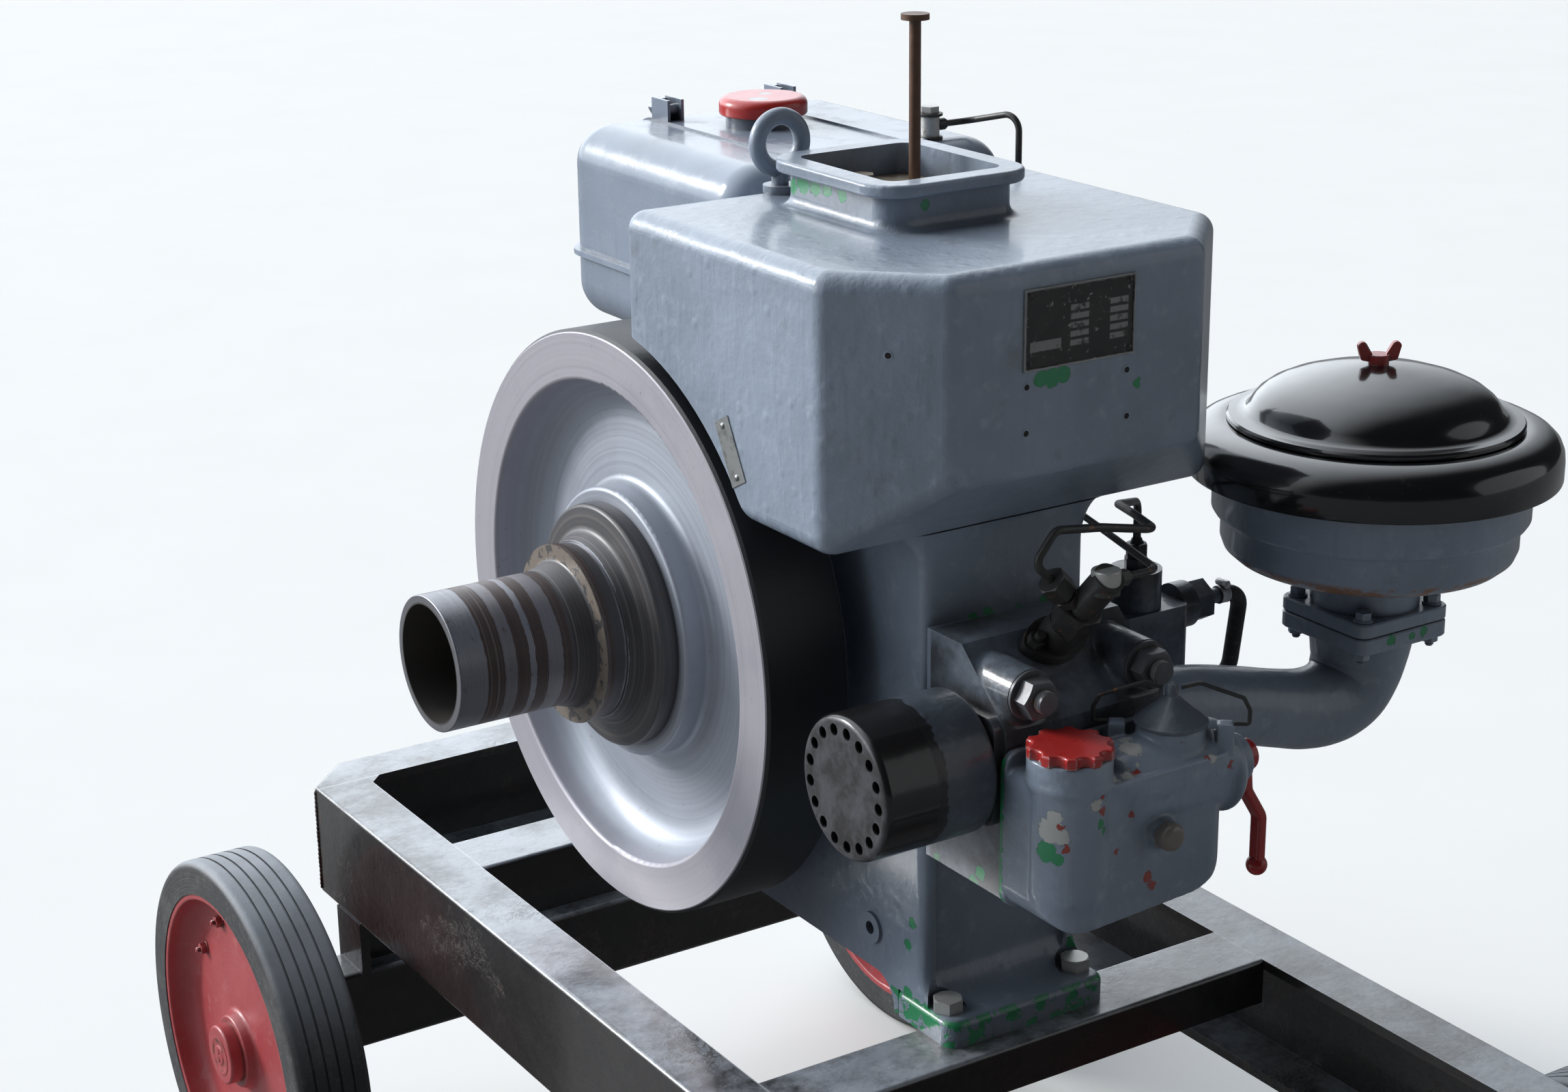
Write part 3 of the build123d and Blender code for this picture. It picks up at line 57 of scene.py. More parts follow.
# Places on the engine, in millimetres from its datum
wheel_z = 200.0
axle_front_y = -529.0
axle_rear_y = 557.0
wheel_track = 814.0
crank_y = 174.0
crank_z = 730.0
frame_half_width = 301.0
frame_front_y = -640.0
frame_rear_y = 668.0
frame_corner_cut = 46.0
frame_top_z = 437.0
frame_bottom_z = 317.0
hopper_front_y = -234.0
hopper_left_x = -189.0
tank_top_z = 1125.0
intake_x = 364.0
intake_y = -199.0
block_half_width = 82.0
disc_lip_r = 156.0
disc_dish_r = 42.0
disc_dish_out = 8.5
disc_dish_rise = 10.0
hub_cap_out = 43.5
flywheel_rim_r = 218.0
flywheel_edge_r = 262.4
tube_bore_r = 54.0
tube_start_x = -370.0
exhaust_cap_x = -203.0
exhaust_paint_x = -142.0
plate_left_x = -48.0
plate_right_x = 61.0
plate_low_z = 1028.0
plate_high_z = 1093.0
plate_edge = 1.4
tag_reach = 295.0
tag_bearing = 45.4
tag_tilt = 62.0
injector_tip_y = -282.2
injector_tip_z = 872.9
port_z = 700.0
port_flange_x = 98.0
elbow_flange_z = 722.0
bowl_flange_z = 750.0
intake_flange_half = 53.5
intake_flange_r = 12.0

# The sky: bright behind the engine, dim elsewhere, and how near to its axis it starts and is full
sky_axis = (-0.28, 0.86, 0.32)
sky_dim = 0.02
sky_bright = 2.35
sky_start = 0.12
sky_full = 0.84
sky_colour = (0.88, 0.94, 1.0, 1.0)

# Two suns: where each stands, its strength, its width in degrees and its colour
suns = {"key": ((-0.71, 0.89, 0.46), 2.50, 17.0, (1.0, 0.99, 0.97)),
        "fill": ((0.75, -0.62, 0.22), 0.34, 60.0, (0.96, 0.98, 1.0))}
floor_half = 40.0
crease_angle = 32.0

nodes = frame["nodes"]
scene = bpy.context.scene
materials = {}


def at(x, y, z):
    """A place given in millimetres from the engine's datum, in the row frame."""
    return Vector((x / 1000 + datum_x, y / 1000 + datum_y, z / 1000))


def make_camera():
    """The camera at the photograph's place."""
    data = bpy.data.cameras.new("camera")
    data.lens = camera_lens
    data.sensor_width = sensor_width
    data.clip_end = 100
    camera = bpy.data.objects.new("camera", data)
    turn = (Matrix.Rotation(math.radians(-camera_azimuth), 4, "Z")
            @ Matrix.Rotation(math.radians(90 - camera_pitch), 4, "X")
            @ Matrix.Rotation(math.radians(camera_roll), 4, "Z"))
    place = Vector((camera_x + datum_x, camera_y + datum_y, camera_height))
    camera.matrix_world = Matrix.Translation(place) @ turn
    scene.collection.objects.link(camera)
    scene.camera = camera


class Surface:
    """A node-based material, put together a node at a time."""

    def __init__(self, name, **values):
        self.name = name
        self.material = bpy.data.materials.new(name)
        self.material.use_nodes = True
        self.tree = self.material.node_tree
        self.shader = self.tree.nodes["Principled BSDF"]
        for socket, value in values.items():
            self.shader.inputs[socket.replace("_", " ")].default_value = value
        self.place = self.node("TexCoord").outputs["Object"]

    def feed(self, socket, value):
        """Links or sets one socket."""
        if isinstance(value, bpy.types.NodeSocket):
            self.tree.links.new(value, socket)
        else:
            socket.default_value = value

    def node(self, kind, inputs=None, **settings):
        """A node with its settings and inputs."""
        made = self.tree.nodes.new("ShaderNode" + kind)
        for key, value in settings.items():
            setattr(made, key, value)
        for key, value in (inputs or {}).items():
            self.feed(made.inputs[key], value)
        return made

    def math(self, operation, first, second=0.0):
        """One sum on two numbers."""
        return self.node("Math", {0: first, 1: second}, operation=operation).outputs[0]

    def both(self, *shares):
        """Several shares multiplied."""
        result = shares[0]
        for share in shares[1:]:
            result = self.math("MULTIPLY", result, share)
        return result

    def most(self, *shares):
        """The largest of several shares."""
        result = shares[0]
        for share in shares[1:]:
            result = self.math("MAXIMUM", result, share)
        return result

    def invert(self, share):
        """1 less a share."""
        return self.math("SUBTRACT", 1.0, share)

    def stretched(self, x, y, z):
        """The place, scaled along each axis."""
        return self.node("VectorMath", {0: self.place, 1: (x, y, z)}, operation="MULTIPLY").outputs[0]

    def noise(self, scale, detail=4.0, rough=0.55, place=None):
        """Soft noise from 0 to 1, with grains of about 1/scale metres."""
        return self.node("TexNoise", {"Vector": place or self.place, "Scale": scale, "Detail": detail,
                                      "Roughness": rough}).outputs["Fac"]

    def lines(self, value, scale, detail=3.0):
        """Noise along one number only, which draws bands across it."""
        return self.node("TexNoise", {"W": self.math("MULTIPLY", value, scale), "Scale": 1.0,
                                      "Detail": detail}, noise_dimensions="1D").outputs["Fac"]

    def cells(self, scale, place=None):
        """Distance to the nearest of scattered points."""
        return self.node("TexVoronoi", {"Vector": place or self.place, "Scale": scale}).outputs["Distance"]

    def ease(self, value, low, high):
        """0 below low, 1 above high and smooth between; low may be the larger."""
        return self.node("MapRange", {"Value": value, "From Min": low, "From Max": high},
                         interpolation_type="SMOOTHSTEP").outputs["Result"]

    def patches(self, scale, low, high, detail=5.0, rough=0.7):
        """Scattered patches: 1 where ragged noise lies above high, 0 where it lies below low."""
        return self.ease(self.noise(scale, detail, rough), low, high)

    def span(self, value, low, high):
        """The numbers 0 to 1 spread from low to high."""
        return self.node("MapRange", {"Value": value, "To Min": low, "To Max": high}).outputs["Result"]

    def blend(self, share, first, second):
        """Two colours mixed by a share."""
        mixer = self.node("Mix", data_type="RGBA")
        self.feed(mixer.inputs[0], share)
        for socket, colour in ((mixer.inputs[6], first), (mixer.inputs[7], second)):
            self.feed(socket, (*colour, 1.0) if isinstance(colour, tuple) else colour)
        return mixer.outputs[2]

    def over(self, tone, colour, *shares):
        """A tone with a colour laid over it, as far as all the shares allow."""
        return self.blend(self.both(*shares), tone, colour)

    def bands(self, value, stops):
        """A ramp of colours, each held from its own position to the next."""
        ramp = self.node("ValToRGB", {"Fac": value})
        ramp.color_ramp.interpolation = "CONSTANT"
        stored = ramp.color_ramp.elements
        for position, colour in stops[1:-1]:
            stored.new(position)
        for element, (position, colour) in zip(stored, stops):
            element.position = position
            element.color = (*colour, 1.0)
        return ramp.outputs["Color"]

    def edges(self, radius, sharp=0.80):
        """Near 1 along the solid's edges, 0 on its faces."""
        soft = self.node("Bevel", {"Radius": radius}, samples=4).outputs["Normal"]
        true = self.node("NewGeometry").outputs["Normal"]
        along = self.node("VectorMath", {0: soft, 1: true}, operation="DOT_PRODUCT").outputs["Value"]
        return self.ease(along, 0.995, sharp)

    def nook_shade(self, reach):
        """1 in corners and crevices, where shade falls, 0 in the open; the materials darken by it as
        painted shade.
        """
        open_share = self.node("AmbientOcclusion", {"Distance": reach}, samples=6).outputs["AO"]
        return self.ease(open_share, 0.85, 0.25)

    def up(self):
        """1 where the surface faces the sky, 0 where it is upright or faces down."""
        normal = self.node("NewGeometry").outputs["Normal"]
        return self.ease(self.node("SeparateXYZ", {0: normal}).outputs["Z"], 0.2, 0.9)

    def axis(self, name):
        """One coordinate of the place, in metres."""
        return self.node("SeparateXYZ", {0: self.place}).outputs[name]

    def inside(self, name, low, high, soft=0.0005):
        """1 between two places on one axis, in millimetres from the datum."""
        shift = {"X": datum_x, "Y": datum_y, "Z": 0.0}[name]
        value = self.axis(name)
        low = low / 1000 + shift
        high = high / 1000 + shift
        return self.both(self.ease(value, low - soft, low + soft),
                         self.ease(value, high + soft, high - soft))

    def radius(self, centre, flat):
        """Distance from a line through a point, along the axis that flat sets to 0."""
        away = self.node("VectorMath", {0: self.place, 1: tuple(centre)}, operation="SUBTRACT").outputs[0]
        away = self.node("VectorMath", {0: away, 1: flat}, operation="MULTIPLY").outputs[0]
        return self.node("VectorMath", {0: away}, operation="LENGTH").outputs["Value"]

    def wheel_radius(self):
        """Distance from the nearer axle's line."""
        middle = (axle_front_y + axle_rear_y) / 2000 + datum_y
        half = (axle_rear_y - axle_front_y) / 2000
        along = self.math("ABSOLUTE", self.math("SUBTRACT", self.axis("Y"), middle))
        along = self.math("SUBTRACT", along, half)
        height = self.math("SUBTRACT", self.axis("Z"), wheel_z / 1000)
        total = self.math("ADD", self.both(along, along), self.both(height, height))
        return self.math("SQRT", total)

    def spots(self, places, ragged=0.010, grain=160.0):
        """1 within ragged patches, each given by a point and its radius in millimetres."""
        shift = self.node("TexNoise", {"Vector": self.place, "Scale": grain, "Detail": 5.0,
                                       "Roughness": 0.65}).outputs["Color"]
        shift = self.node("VectorMath", {0: shift, 1: (0.5, 0.5, 0.5)}, operation="SUBTRACT").outputs[0]
        shift = self.node("VectorMath", {0: shift, "Scale": ragged}, operation="SCALE").outputs[0]
        spot = self.node("VectorMath", {0: self.place, 1: shift}, operation="ADD").outputs[0]
        share = 0.0
        for x, y, z, size in places:
            gap = self.node("VectorMath", {0: spot, 1: tuple(at(x, y, z))}, operation="DISTANCE")
            inside = self.ease(gap.outputs["Value"], size / 1000 * 1.05, size / 1000 * 0.95)
            share = self.math("MAXIMUM", share, inside)
        return share

    def bump(self, *layers):
        """Raises the surface by heights in metres, each given with its share from 0 to 1."""
        normal = None
        for value, height in layers:
            inputs = {"Height": value, "Distance": height, "Strength": 1.0}
            if normal is not None:
                inputs["Normal"] = normal
            normal = self.node("Bump", inputs).outputs["Normal"]
        self.feed(self.shader.inputs["Normal"], normal)

    def finish(self, colour, rough=None, metal=None):
        """Links what varies over the surface, and keeps the material under its name."""
        self.feed(self.shader.inputs["Base Color"], colour)
        if rough is not None:
            self.feed(self.shader.inputs["Roughness"], rough)
        if metal is not None:
            self.feed(self.shader.inputs["Metallic"], metal)
        materials[self.name] = self.material


paint_dark = (0.195, 0.235, 0.295)
paint_light = (0.265, 0.315, 0.395)
paint_pale = (0.350, 0.400, 0.480)
undercoat_green = (0.030, 0.260, 0.110)
undercoat_red = (0.330, 0.055, 0.040)
chip_pale = (0.480, 0.480, 0.460)
plug_brown = (0.190, 0.165, 0.145)
# the dark of dirt specks, also laid into corners and crevices as painted shade
grime_and_shade = (0.040, 0.036, 0.032)
rust_dark = (0.090, 0.042, 0.025)
rust_light = (0.260, 0.125, 0.060)


def cast_paint(name, green=(), pale=(), red=(), brown=(), green_below=None, black_left_of=None,
               rusty_band=None, oily=0.0, shade=1.0):
    """Thick blue-grey paint on rough castings, with runs, stains and chips to its undercoats."""
    s = Surface(name, Coat_Weight=0.45, Coat_Roughness=0.13)
    broad = s.noise(6, 3)
    mottle = s.noise(60, 5, 0.6)
    dark = tuple(value * shade for value in paint_dark)
    light = tuple(value * shade for value in paint_light)
    tone = s.blend(s.ease(broad, 0.30, 0.70), dark, light)
    tone = s.over(tone, paint_pale, s.ease(mottle, 0.52, 0.80), 0.6 * shade)
    streak = s.ease(s.noise(1, 4, 0.6, s.stretched(140, 140, 8)), 0.55, 0.75)
    tone = s.over(tone, dark, streak, 0.35)
    stain = s.patches(17, 0.58, 0.74, 6)
    tone = s.over(tone, (0.150, 0.155, 0.160), stain, 0.45)
    speck = s.patches(330, 0.70, 0.78, 3, 0.6)
    tone = s.over(tone, grime_and_shade, speck, 0.5)
    # painted highlight: pale paint along the casting's edges
    rim = s.both(s.edges(0.004), s.span(s.noise(30, 4), 0.1, 0.9))
    tone = s.over(tone, paint_pale, rim, 0.45)
    # painted shade: corners and crevices darkened
    painted_nook_shade = s.both(s.nook_shade(0.035), s.span(s.noise(40, 5), 0.3, 1.1))
    tone = s.over(tone, grime_and_shade, painted_nook_shade, 0.80)
    if oily:
        oil = s.both(s.patches(13, 0.36, 0.62, 5, 0.65), oily)
        tone = s.over(tone, (0.030, 0.029, 0.027), oil)
    if rusty_band is not None:
        rust = s.both(s.inside("Z", *rusty_band, 0.003), s.patches(45, 0.42, 0.56))
        tone = s.over(tone, rust_light, rust)
    chip = s.spots(green) if green else 0.0
    if green_below is not None:
        side = s.both(s.ease(s.axis("Z"), green_below / 1000 + 0.001, green_below / 1000 - 0.001),
                      s.patches(62, 0.50, 0.53, 5, 0.62))
        chip = s.most(chip, side)
    tone = s.over(tone, undercoat_green, chip)
    layers = [chip]
    for places, colour in ((pale, chip_pale), (red, undercoat_red), (brown, plug_brown)):
        if places:
            patch = s.spots(places, 0.012, 200.0)
            tone = s.over(tone, colour, patch)
            layers.append(patch)
    if black_left_of is not None:
        ragged = s.both(s.math("SUBTRACT", s.noise(34, 5, 0.62), 0.5), 0.026)
        along = s.math("ADD", s.axis("X"), ragged)
        edge = black_left_of / 1000 + datum_x
        black = s.ease(along, edge + 0.0008, edge - 0.0008)
        tone = s.over(tone, (0.010, 0.010, 0.011), black)
    lumps = s.ease(s.cells(48), 0.30, 0.02)
    runs = s.ease(s.noise(1, 3, 0.5, s.stretched(75, 75, 14)), 0.50, 0.72)
    s.bump((s.noise(16, 3), 0.0026), (s.noise(70, 4, 0.6), 0.0006), (s.noise(230, 3), 0.00026),
           (lumps, 0.0005), (runs, 0.0002), (s.invert(s.most(*layers)), 0.0004))
    s.finish(tone, s.span(mottle, 0.28, 0.46))


def sheet_paint(name, rusty=()):
    """Smoother blue-grey paint on pressed sheet, dusty on top and streaked on its sides."""
    s = Surface(name, Coat_Weight=0.3, Coat_Roughness=0.16)
    broad = s.noise(5, 3)
    tone = s.blend(s.ease(broad, 0.3, 0.7), paint_dark, paint_light)
    dust = s.patches(30, 0.48, 0.75, 6, 0.65)
    tone = s.over(tone, (0.33, 0.35, 0.38), dust, s.span(s.up(), 0.15, 0.35))
    streak = s.ease(s.noise(1, 4, 0.6, s.stretched(110, 110, 7)), 0.56, 0.74)
    tone = s.over(tone, paint_dark, streak, s.invert(s.up()), 0.35)
    # painted highlight: pale paint along the sheet's edges
    tone = s.over(tone, paint_pale, s.edges(0.003), s.span(s.noise(40, 4), 0.0, 0.7))
    # painted shade: corners darkened
    tone = s.over(tone, grime_and_shade, s.nook_shade(0.02), 0.7)
    if rusty:
        patch = s.spots(rusty)
        tone = s.over(tone, rust_light, patch)
    s.bump((s.noise(13, 2), 0.0012), (s.noise(320, 2), 0.00008))
    s.finish(tone, s.span(dust, 0.24, 0.44))


def frame_paint():
    """Black paint brushed over rough steel channel, scratched, dusty and rusting at its edges, with a
    painted sky reflection on its tops and a painted highlight along their edges.
    """
    s = Surface("black_frame_paint", Coat_Weight=1.0, Coat_Roughness=0.14)
    tone = s.blend(s.noise(40, 5), (0.012, 0.012, 0.013), (0.034, 0.032, 0.031))
    scuff = s.both(s.patches(14, 0.54, 0.70, 6, 0.72), s.patches(120, 0.40, 0.66))
    tone = s.over(tone, (0.115, 0.085, 0.066), scuff, 0.55)
    # dust and a painted sky reflection: bluish pale in patches on the channel's upward faces
    dust = s.both(s.patches(8, 0.34, 0.62, 6), s.up())
    tone = s.over(tone, (0.50, 0.54, 0.61), dust, 0.62)
    # painted highlight: pale line along the channel's top edges
    rim = s.both(s.edges(0.003), s.up())
    tone = s.over(tone, (0.56, 0.58, 0.63), rim, 0.8)
    worn = s.both(s.edges(0.004), s.invert(s.up()), s.ease(s.noise(60, 5), 0.50, 0.60))
    tone = s.over(tone, rust_dark, worn)
    pitted = s.both(s.patches(7, 0.54, 0.66, 4, 0.6), s.patches(150, 0.46, 0.60))
    tone = s.over(tone, (0.050, 0.040, 0.034), pitted, 0.75)
    fleck = s.patches(170, 0.69, 0.75)
    tone = s.over(tone, rust_light, fleck, 0.8)
    s.bump((s.noise(24, 4), 0.0012), (s.noise(120, 5, 0.65), 0.0008), (pitted, 0.0006))
    s.finish(tone, s.span(s.noise(26, 5), 0.16, 0.46))


def gloss_black():
    """Glossy black enamel on pressed sheet, rubbed grey here and there, with a painted highlight of lighter
    grey along its edges.
    """
    s = Surface("gloss_black_paint", Coat_Weight=1.0, Coat_Roughness=0.07)
    tone = s.blend(s.noise(12, 4), (0.006, 0.006, 0.007), (0.016, 0.016, 0.017))
    dust = s.patches(60, 0.60, 0.78, 6)
    tone = s.over(tone, (0.16, 0.16, 0.16), dust, 0.14)
    # painted highlight: lighter grey along the edges
    tone = s.over(tone, (0.10, 0.10, 0.10), s.edges(0.002), s.ease(s.noise(80, 4), 0.5, 0.7))
    s.bump((s.noise(15, 2), 0.0011), (s.noise(420, 2), 0.00004))
    s.finish(tone, s.span(dust, 0.20, 0.45))


def cap_paint():
    """The exhaust cap: a black enamelled shell whose end face is burnt to mottled steel."""
    s = Surface("exhaust_cap_paint", Coat_Weight=0.4, Coat_Roughness=0.10)
    black = s.blend(s.noise(30, 4), (0.008, 0.008, 0.009), (0.022, 0.021, 0.021))
    steel = s.blend(s.patches(38, 0.34, 0.66, 6), (0.026, 0.024, 0.025), (0.085, 0.085, 0.096))
    steel = s.over(steel, (0.080, 0.050, 0.042), s.patches(140, 0.62, 0.72))
    face = s.inside("X", exhaust_cap_x, exhaust_cap_x + 4.6)
    fleck = s.patches(210, 0.66, 0.72, 4)
    tone = s.over(black, rust_dark, fleck, 0.6)
    tone = s.over(tone, steel, face)
    # painted shade: corners darkened near black
    tone = s.over(tone, (0.006, 0.006, 0.006), s.nook_shade(0.006), 0.9)
    s.bump((s.noise(18, 3), 0.0010), (s.both(face, s.noise(160, 5, 0.7)), 0.0004))
    s.finish(tone, s.span(face, 0.22, 0.42), s.both(face, 0.35))


def red_paint(name, deep, light, roughness, places=()):
    """Red enamel, worn to bare metal on its edges."""
    s = Surface(name, Coat_Weight=0.5, Coat_Roughness=0.10)
    tone = s.blend(s.noise(50, 4), deep, light)
    worn = s.both(s.edges(0.003), s.ease(s.noise(140, 4), 0.48, 0.56))
    if places:
        worn = s.most(worn, s.spots(places, 0.006, 300))
    tone = s.over(tone, (0.32, 0.31, 0.30), worn)
    # painted shade: corners darkened
    tone = s.over(tone, (0.06, 0.012, 0.010), s.nook_shade(0.012), 0.7)
    s.bump((s.noise(60, 3), 0.0004), (s.noise(180, 4), 0.0002), (s.invert(worn), 0.0002))
    s.finish(tone, s.span(s.noise(90, 4), roughness, roughness + 0.2))


def wheel_paint():
    """Weathered pinkish red on the wheel discs, scuffed in rings, dusty in patches and darker in its
    hollows with painted shade.
    """
    s = Surface("red_wheel_paint", Coat_Weight=0.15, Coat_Roughness=0.3)
    out = s.wheel_radius()
    ring = s.lines(out, 420.0)
    tone = s.blend(s.noise(18, 5), (0.30, 0.030, 0.036), (0.46, 0.090, 0.095))
    tone = s.over(tone, (0.42, 0.14, 0.14), s.ease(ring, 0.5, 0.8), 0.30)
    dust = s.patches(60, 0.52, 0.76, 6)
    tone = s.over(tone, (0.42, 0.24, 0.24), dust, 0.30)
    # painted shade: hollows darkened
    tone = s.over(tone, (0.10, 0.035, 0.030), s.nook_shade(0.02), 0.80)
    worn = s.both(s.edges(0.003), s.ease(s.noise(100, 4), 0.50, 0.58))
    tone = s.over(tone, rust_dark, worn)
    s.bump((s.noise(150, 4), 0.0003), (ring, 0.00008))
    s.finish(tone, s.span(dust, 0.36, 0.62))


def rubber(name, dark, light, ringed=False):
    """Aged solid rubber, scuffed and dusty, with, on the ringed tyre, a painted sky reflection on its
    upward faces.
    """
    s = Surface(name)
    tone = s.blend(s.noise(25, 5, 0.65), dark, light)
    scuff = s.patches(180, 0.54, 0.70)
    tone = s.over(tone, (0.20, 0.20, 0.195), scuff, 0.35)
    layers = [(s.noise(400, 3), 0.00025)]
    if ringed:
        ring = s.lines(s.wheel_radius(), 700.0)
        tone = s.over(tone, (0.15, 0.15, 0.155), s.ease(ring, 0.52, 0.72), 0.30)
        tone = s.over(tone, (0.16, 0.15, 0.135), s.patches(9, 0.5, 0.7), 0.4)
        # painted sky reflection: the tyre's upward faces lightened bluish grey
        tone = s.over(tone, (0.46, 0.49, 0.54), s.up(), s.span(s.noise(20, 4), 0.3, 0.8))
        layers.append((ring, 0.00015))
    s.bump(*layers)
    s.finish(tone, s.span(scuff, 0.60, 0.85))


def spun_iron():
    """The flywheel: iron with fine turned rings, and black paint round its outside."""
    s = Surface("machined_iron")
    out = s.radius(at(0, crank_y, crank_z), (0, 1, 1))
    ring = s.lines(out, 240.0, 4.0)
    fine = s.lines(out, 2200.0, 2.0)
    web = s.blend(ring, (0.30, 0.325, 0.38), (0.43, 0.46, 0.52))
    rim = s.blend(ring, (0.37, 0.355, 0.40), (0.47, 0.455, 0.50))
    smear = s.patches(9, 0.48, 0.72, 5, 0.65)
    rim_r = flywheel_rim_r / 1000
    edge_r = flywheel_edge_r / 1000
    tone = s.blend(s.ease(out, rim_r - 0.004, rim_r + 0.004), web, rim)
    tone = s.over(tone, (0.25, 0.26, 0.30), smear, 0.35)
    tone = s.over(tone, (0.20, 0.13, 0.10), s.patches(130, 0.62, 0.74), 0.5)
    # painted shade: corners darkened
    tone = s.over(tone, (0.09, 0.09, 0.10), s.nook_shade(0.03), 0.6)
    painted = s.ease(out, edge_r - 0.0004, edge_r + 0.0004)
    tone = s.over(tone, (0.020, 0.022, 0.026), painted)
    s.bump((fine, 0.00005), (ring, 0.0001), (s.both(painted, s.noise(140, 4)), 0.0003))
    s.finish(tone, s.span(ring, 0.40, 0.52), s.span(painted, 0.35, 0.0))


tube_bands = [(tube_start_x, "bright"), (-344, "brown"), (-328, "fine"), (-316, "brown"), (-304, "bright"),
              (-298, "brown"), (-286, "fine"), (-272, "brown"), (-263, "grey"), (-240.5, "cream"),
              (-239.4, "brown"), (-232, "grey"), (-221, "bright"), (-218.5, "grey"), (-203, "grey")]
band_colours = {"bright": (0.28, 0.285, 0.31), "brown": (0.056, 0.033, 0.028), "fine": (0.22, 0.215, 0.23),
                "grey": (0.062, 0.060, 0.066), "cream": (0.24, 0.20, 0.165)}
band_metal = {"bright": 0.9, "brown": 0.1, "fine": 0.75, "grey": 0.1, "cream": 0.1}


def banded_steel():
    """The output tube: bright steel, brown rust and grey paint side by side along it."""
    s = Surface("turned_steel")
    length = tube_bands[-1][0] - tube_start_x
    ragged = s.both(s.math("SUBTRACT", s.noise(90, 4), 0.5), 0.003)
    along = s.math("ADD", s.axis("X"), ragged)
    share = s.node("MapRange", {"Value": along, "From Min": tube_start_x / 1000 + datum_x,
                                "From Max": (tube_start_x + length) / 1000 + datum_x}).outputs["Result"]
    places = [((x - tube_start_x) / length, kind) for x, kind in tube_bands]
    tone = s.bands(share, [(place, band_colours[kind]) for place, kind in places])
    metal = s.bands(share, [(place, (band_metal[kind],) * 3) for place, kind in places])
    fine = s.lines(s.axis("X"), 1300.0)
    broad = s.lines(s.axis("X"), 300.0)
    tone = s.over(tone, (0.16, 0.14, 0.13), s.ease(fine, 0.45, 0.75), 0.5)
    tone = s.over(tone, (0.34, 0.33, 0.33), s.ease(broad, 0.55, 0.75), 0.25)
    tone = s.over(tone, (0.105, 0.062, 0.045), s.patches(110, 0.58, 0.72), 0.55)
    bore_r = tube_bore_r / 1000
    # painted shade: the bore inside the tube made near black and not metallic
    bore_shade = s.ease(s.radius(at(0, crank_y, crank_z), (0, 1, 1)), bore_r + 0.0005, bore_r - 0.0005)
    tone = s.over(tone, (0.050, 0.045, 0.042), bore_shade)
    s.bump((fine, 0.00010), (s.noise(240, 4), 0.00008))
    s.finish(tone, s.span(broad, 0.28, 0.50), s.both(metal, s.invert(bore_shade)))


def plain_steel(name, dark, light, metal, low, high, rust=0.0):
    """Steel with stains and a little pitting."""
    s = Surface(name)
    tone = s.blend(s.noise(70, 5, 0.65), dark, light)
    if rust:
        stain = s.ease(s.noise(120, 5, 0.7), 0.62 - rust, 0.74 - rust)
        tone = s.over(tone, rust_light, stain)
    # painted shade: corners darkened
    tone = s.over(tone, grime_and_shade, s.nook_shade(0.01), 0.75)
    s.bump((s.noise(260, 4), 0.0002))
    s.feed(s.shader.inputs["Metallic"], metal)
    s.finish(tone, s.span(s.noise(45, 4), low, high))


def plate_metal():
    """The aluminium plates: brushed silver, the nameplate black with blank pale boxes."""
    s = Surface("plate_aluminium")
    brushed = s.noise(1, 3, 0.6, s.stretched(30, 30, 900))
    tone = s.blend(brushed, (0.30, 0.31, 0.31), (0.48, 0.49, 0.49))
    tone = s.over(tone, (0.16, 0.155, 0.14), s.patches(60, 0.50, 0.68), 0.7)
    field = s.both(s.inside("X", plate_left_x + plate_edge, plate_right_x - plate_edge),
                   s.inside("Z", plate_low_z + plate_edge, plate_high_z - plate_edge),
                   s.inside("Y", hopper_front_y - 6, hopper_front_y + 2))
    ink = s.blend(s.noise(40, 5), (0.018, 0.018, 0.020), (0.050, 0.048, 0.046))
    ink = s.over(ink, (0.34, 0.34, 0.33), s.patches(160, 0.60, 0.68), 0.8)
    row = s.most(*[s.inside("Z", z, z + 4.6) for z in (1043, 1050, 1057, 1064, 1071)])
    column = s.most(s.inside("X", -3, 15), s.inside("X", 36, 54))
    box = s.both(s.most(s.both(row, column), s.both(s.inside("X", -42, -12), s.inside("Z", 1043, 1051))),
                 s.patches(90, 0.34, 0.46))
    ink = s.over(ink, (0.30, 0.30, 0.29), box, 0.75)
    ink = s.over(ink, (0.34, 0.34, 0.33), s.edges(0.0012), s.ease(s.noise(120, 4), 0.42, 0.56))
    tone = s.over(tone, ink, field)
    s.bump((s.noise(300, 3), 0.0001), (s.invert(field), 0.0002))
    s.finish(tone, s.span(field, 0.34, 0.40), s.span(field, 0.75, 0.0))


def neck_iron():
    """Inside of the filler neck: light brown stains and scale, with pale streaks."""
    s = Surface("wet_iron")
    tone = s.blend(s.patches(28, 0.35, 0.65, 6), (0.120, 0.085, 0.055), (0.30, 0.25, 0.19))
    streak = s.ease(s.noise(1, 4, 0.6, s.stretched(90, 90, 10)), 0.5, 0.7)
    tone = s.over(tone, (0.40, 0.38, 0.34), streak, 0.5)
    # painted shade: corners darkened
    tone = s.over(tone, (0.040, 0.030, 0.022), s.nook_shade(0.02), 0.7)
    s.bump((s.noise(110, 5, 0.65), 0.0007))
    s.finish(tone, s.span(s.noise(45, 4), 0.40, 0.80))


